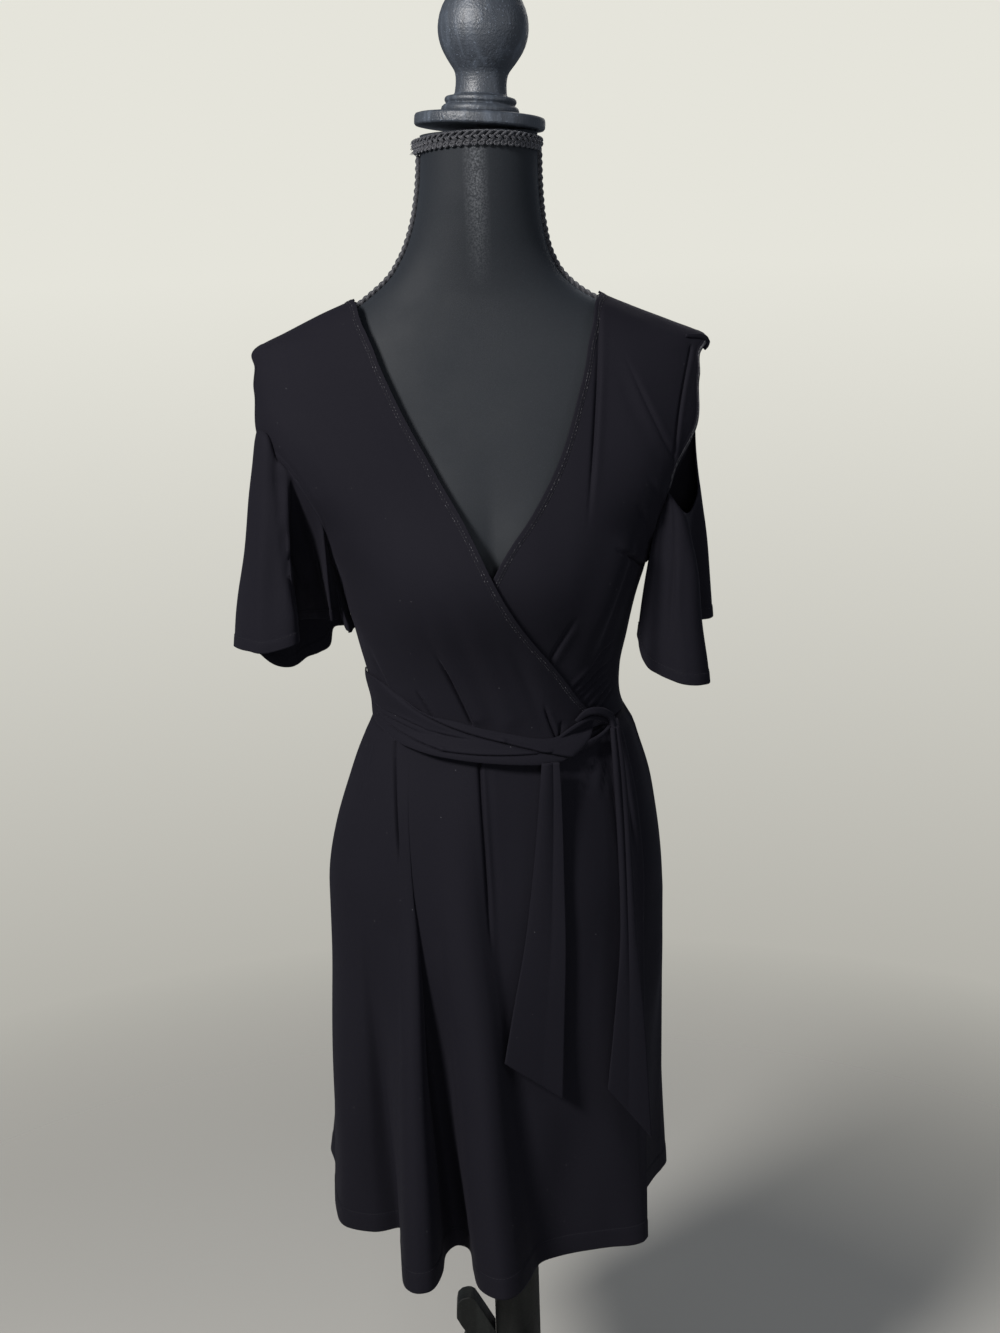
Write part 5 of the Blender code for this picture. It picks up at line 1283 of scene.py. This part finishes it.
# ==== Tie =================================================================================
# A doubled strip of the same jersey. It comes out of the left side seam, crosses the front in
# long soft folds, loops over the wrap edge and ends in two hanging tails with slanting ends.
TIE_ROWS = ("angle", "height", "width")
TIE = (
    (181.0, 1.0040, 0.0430), (193.0, 1.0030, 0.0480), (206.0, 1.0005, 0.0510),
    (219.0, 0.9900, 0.0465), (228.0, 0.9842, 0.0420), (237.0, 0.9792, 0.0385),
    (248.0, 0.9756, 0.0370), (259.0, 0.9714, 0.0335), (276.0, 0.9662, 0.0290),
    (293.0, 0.9615, 0.0235), (303.0, 0.9635, 0.0222), (309.5, 0.9690, 0.0215),
    (315.0, 0.9765, 0.0210), (320.5, 0.9850, 0.0150),
)
TIE_OFFSET, TIE_START_OFFSET = 0.0085, 0.0020
TIE_GRID, TIE_WALL, TIE_ROUND, TIE_DROP = (230, 46), 0.0014, 0.0014, 0.22
RIBBON_GRID = (33, 150)
TIE_CREASES = (
    (-0.1080, 1.0270, 0.0035, 0.9727, 0.0065, 0.0022, 0.0036, 0.0014, 0.8, 1.0),
    (0.0035, 0.9727, 0.0630, 0.9525, 0.0000, 0.0022, 0.0034, 0.0014, 1.0, 1.0),
    (-0.1110, 0.9965, -0.0540, 0.9790, -0.0030, 0.0020, 0.0026, 0.0008, 0.7, 0.0),
    (-0.1090, 0.9900, -0.0660, 0.9780, -0.0020, 0.0018, 0.0022, 0.0008, 0.7, 0.0),
    (-0.0660, 0.9850, -0.0220, 0.9760, 0.0010, 0.0018, 0.0016, 0.0006, 0.0, 0.0),
    (-0.1110, 0.9855, -0.0484, 0.9642, 0.0010, 0.0020, 0.0032, 0.0012, 0.8, 1.0),
    (-0.0484, 0.9642, 0.0450, 0.9600, 0.0015, 0.0020, 0.0030, 0.0012, 1.0, 0.7),
    (0.0640, 0.9745, 0.0980, 0.9800, 0.0000, 0.0110, 0.0046, 0.0000, 0.4, 0.9),
)
TAIL = ("height", "x", "y", "width", "turn", "slope")
FRONT_TAIL = (
    (0.955, 0.0480, -0.1150, 0.0160, 10.0, 0.0), (0.935, 0.0475, -0.1170, 0.0190, 10.0, 0.0),
    (0.900, 0.0462, -0.1180, 0.0230, 8.0, 0.0), (0.840, 0.0430, -0.1200, 0.0300, 4.0, 0.0),
    (0.780, 0.0390, -0.1240, 0.0380, 4.0, 0.2), (0.700, 0.0300, -0.1320, 0.0490, 8.0, 0.6),
    (0.642, 0.0235, -0.1390, 0.0560, 9.0, 1.0),
)
SIDE_TAIL = (
    (0.977, 0.1105, -0.0780, 0.0100, 40.0, 0.0), (0.950, 0.1130, -0.0850, 0.0130, 36.0, 0.0),
    (0.900, 0.1160, -0.0920, 0.0140, 30.0, 0.0), (0.840, 0.1180, -0.1010, 0.0140, 22.0, 0.0),
    (0.780, 0.1190, -0.1090, 0.0160, 16.0, 0.1), (0.700, 0.1190, -0.1175, 0.0280, 12.0, 0.5),
    (0.597, 0.1165, -0.1260, 0.0430, 10.0, 1.0),
)
FRONT_TAIL_CUT, SIDE_TAIL_CUT = -0.044, -0.058
KNOT = (
    (309.0, 0.9870, 0.0110, 0.0045, 0.0036), (312.3, 0.9940, 0.0138, 0.0062, 0.0050),
    (315.4, 0.9955, 0.0150, 0.0070, 0.0060), (319.1, 0.9942, 0.0155, 0.0074, 0.0064),
    (323.0, 0.9906, 0.0156, 0.0078, 0.0064), (326.0, 0.9850, 0.0153, 0.0082, 0.0060),
    (326.9, 0.9779, 0.0150, 0.0086, 0.0056), (326.2, 0.9700, 0.0148, 0.0090, 0.0050),
)
LOOP = (
    (297.0, 0.9695, 0.0085, 0.0025, 0.0020), (303.3, 0.9779, 0.0110, 0.0036, 0.0036),
    (309.1, 0.9838, 0.0118, 0.0040, 0.0040), (314.7, 0.9877, 0.0120, 0.0042, 0.0042),
    (321.2, 0.9863, 0.0120, 0.0044, 0.0042), (325.6, 0.9827, 0.0118, 0.0046, 0.0044),
    (327.0, 0.9776, 0.0118, 0.0048, 0.0044), (323.8, 0.9728, 0.0118, 0.0050, 0.0042),
    (318.6, 0.9685, 0.0118, 0.0058, 0.0040), (313.3, 0.9652, 0.0115, 0.0072, 0.0036),
    (307.2, 0.9625, 0.0108, 0.0088, 0.0030), (300.8, 0.9605, 0.0095, 0.0090, 0.0022),
)


def tie_grid():
    """The band lies along the garment at its stand-off, and further out below the waist, with
    a rounded face and long folds that run with it."""
    at = np.linspace(0, 1, TIE_GRID[0])
    tie = read_rows(TIE_ROWS, TIE, at)
    v = np.linspace(0, 1, TIE_GRID[1])[None]
    height = tie["height"][:, None] + (v - 0.5) * tie["width"][:, None]
    base = body_point(GARMENT, np.radians(tie["angle"])[:, None] + 0 * v, height, True)
    below = TIE_DROP * np.maximum(WAIST_Z - height, 0.0)
    off = TIE_START_OFFSET + (TIE_OFFSET - TIE_START_OFFSET) * ramp(at, 0.0, 0.4)[:, None]
    rounded = TIE_ROUND * (1 - (2 * v - 1) ** 6)
    out = off + below + rounded + creases(base[..., 0], base[..., 2], TIE_CREASES)
    return base + normals(base) * out[..., None]


def ribbon_grid(rows, cut, ridges, crease):
    """A hanging end: a ribbon pressed lengthwise into ridges, which flatten out on the way down
    to its slanting cut."""
    path = columns(TAIL, rows)
    drop = path["height"][0] - path["height"]
    at = np.linspace(0, drop[-1], RIBBON_GRID[1])
    read = {key: curve(at, drop, path[key]) for key in TAIL}
    s = np.linspace(-0.5, 0.5, RIBBON_GRID[0])[:, None]
    turn = np.radians(read["turn"])[None]
    width = read["width"][None]
    flatten = 1 - 0.75 * ramp(at / drop[-1], 0.25, 0.8)[None]
    wave = np.abs(np.sin(math.pi * ridges * (s + 0.5) ** 0.9)) ** 0.7
    bend = crease * wave * flatten * width.min()
    x = read["x"] + s * width * np.cos(turn) + bend * np.sin(turn)
    y = read["y"] + s * width * np.sin(turn) - bend * np.cos(turn)
    z = read["height"] + s * cut * read["slope"]
    return np.stack([x, y, z + 0 * x], axis=-1)


front_tail_grid = ribbon_grid(FRONT_TAIL, FRONT_TAIL_CUT, 1.5, 0.13)
side_tail_grid = ribbon_grid(SIDE_TAIL, SIDE_TAIL_CUT, 2, 0.26)
tie = cloth_piece("tie_band", tie_grid(), "tie_front", wall=TIE_WALL)
front_tail = cloth_piece("tie_front_tail", front_tail_grid, "tie_tail_front", wall=TIE_WALL)
side_tail = cloth_piece("tie_side_tail", side_tail_grid, "tie_tail_side", wall=TIE_WALL)
knot = closed_piece("tie_knot_band", band_grid(KNOT), jersey, "jersey", "tie_knot")
loop = closed_piece("tie_loop", band_grid(LOOP), jersey, "jersey")

# ==== Studio ==============================================================================
# A plain pale floor that fades out into a pale surround, a soft key light high at the front
# left, weak lights at the right, in front and behind, and the camera at the height of the neck,
# tipped down.
CAMERA = {"place": (0.0215, -1.54, 1.40), "down": 13.85, "roll": 1.9, "lens": 43.21}
FLOOR_COLOUR, FLOOR_FADE = (0.40, 0.39, 0.36, 1), (0.7, 1.7)
FLOOR_HALF, FLOOR_Z = 2, -0.0005
SURROUND = {"high": (0.784, 0.776, 0.708, 1), "low": (0.386, 0.376, 0.342, 1), "steep": -0.5,
            "shade": (0.60, 0.67, 0.80, 1), "light": 0.24}
floor_finish, floor_tree, floor_shader = new_finish(
    "pale floor", Roughness=0.9, Specular_IOR_Level=0.0, Base_Color=FLOOR_COLOUR)
floor_place = add(floor_tree, "TexCoord", out=3)
floor_reach = add(floor_tree, "VectorMath", {0: floor_place}, out=1, operation="LENGTH")
floor_clear = floor_tree.nodes.new("ShaderNodeBsdfTransparent")
floor_blend = floor_tree.nodes.new("ShaderNodeMixShader")
floor_tree.links.new(remap(floor_tree, floor_reach, *FLOOR_FADE), floor_blend.inputs[0])
floor_tree.links.new(floor_shader.outputs[0], floor_blend.inputs[1])
floor_tree.links.new(floor_clear.outputs[0], floor_blend.inputs[2])
floor_tree.links.new(floor_blend.outputs[0], floor_tree.nodes["Material Output"].inputs["Surface"])
floor_mesh = bpy.data.meshes.new("floor")
floor_corners = [(FLOOR_HALF * x, FLOOR_HALF * y, FLOOR_Z)
                 for x, y in ((-1, -1), (1, -1), (1, 1), (-1, 1))]
floor_mesh.from_pydata(floor_corners, [], [(0, 1, 2, 3)])
floor_mesh.materials.append(floor_finish)
placed("floor", floor_mesh)

world = bpy.data.worlds.new("pale room")
world.use_nodes = True
sky = world.node_tree
sky_up = sky.nodes.new("ShaderNodeSeparateXYZ")
sky.links.new(add(sky, "TexCoord"), sky_up.inputs[0])
sky_shade = remap(sky, sky_up.outputs[2], SURROUND["steep"], 0.0)
sky_seen = add(sky, "LightPath")
sky_wall = blend_colours(sky, sky_shade, SURROUND["low"], SURROUND["high"])
sky_colour = blend_colours(sky, sky_seen, SURROUND["shade"], sky_wall)
sky_strength = remap(sky, sky_seen, 0.0, 1.0, SURROUND["light"], 1.0)
sky.links.new(sky_colour, sky.nodes["Background"].inputs["Color"])
sky.links.new(sky_strength, sky.nodes["Background"].inputs["Strength"])
bpy.context.scene.world = world


def stand_at(thing, right, up, back, place):
    """Puts a light or a camera at a place, with its own three axes in these directions."""
    rows = [(right[k], up[k], back[k], place[k]) for k in range(3)]
    thing.matrix_world = Matrix(rows + [(0, 0, 0, 1)])


def soft_light(name, place, aim, size, power, colour):
    """A round area light that faces a point on the form's axis at the height of its aim."""
    light = bpy.data.lights.new(name, "AREA")
    light.shape = "DISK"
    light.size = size
    light.energy = power
    light.color = colour
    back = np.array(place) - np.array([0.0, 0.0, aim])
    back = back / np.linalg.norm(back)
    right = np.cross([0.0, 0.0, 1.0], back)
    right /= np.linalg.norm(right)
    stand_at(placed(name, light), right, np.cross(back, right), back, place)


soft_light("key", (-1.5, -1.75, 2.65), 1.05, 0.6, 132, (1.0, 0.98, 0.96))
soft_light("fill", (2.1, -1.5, 2.1), 1.1, 1.0, 9, (0.95, 0.97, 1.0))
soft_light("front", (0.25, -2.6, 1.35), 1.05, 0.8, 13, (0.97, 0.98, 1.0))
soft_light("rear", (0.8, 2.6, 2.4), 1.0, 1.6, 12, (1.0, 0.98, 0.95))
bpy.context.scene.view_settings.view_transform = "Standard"

down, roll = math.radians(CAMERA["down"]), math.radians(CAMERA["roll"])
ahead = np.array([0.0, math.cos(down), -math.sin(down)])
upright = np.array([0.0, math.sin(down), math.cos(down)])
sideways = np.array([1.0, 0.0, 0.0])
camera_right = math.cos(roll) * sideways - math.sin(roll) * upright
camera_up = math.sin(roll) * sideways + math.cos(roll) * upright
camera_data = bpy.data.cameras.new("camera")
camera_data.lens = CAMERA["lens"]
camera_data.sensor_width = 36.0
camera_data.clip_start, camera_data.clip_end = 0.05, 80.0
camera = placed("camera", camera_data)
stand_at(camera, camera_right, camera_up, -ahead, CAMERA["place"])
bpy.context.scene.camera = camera
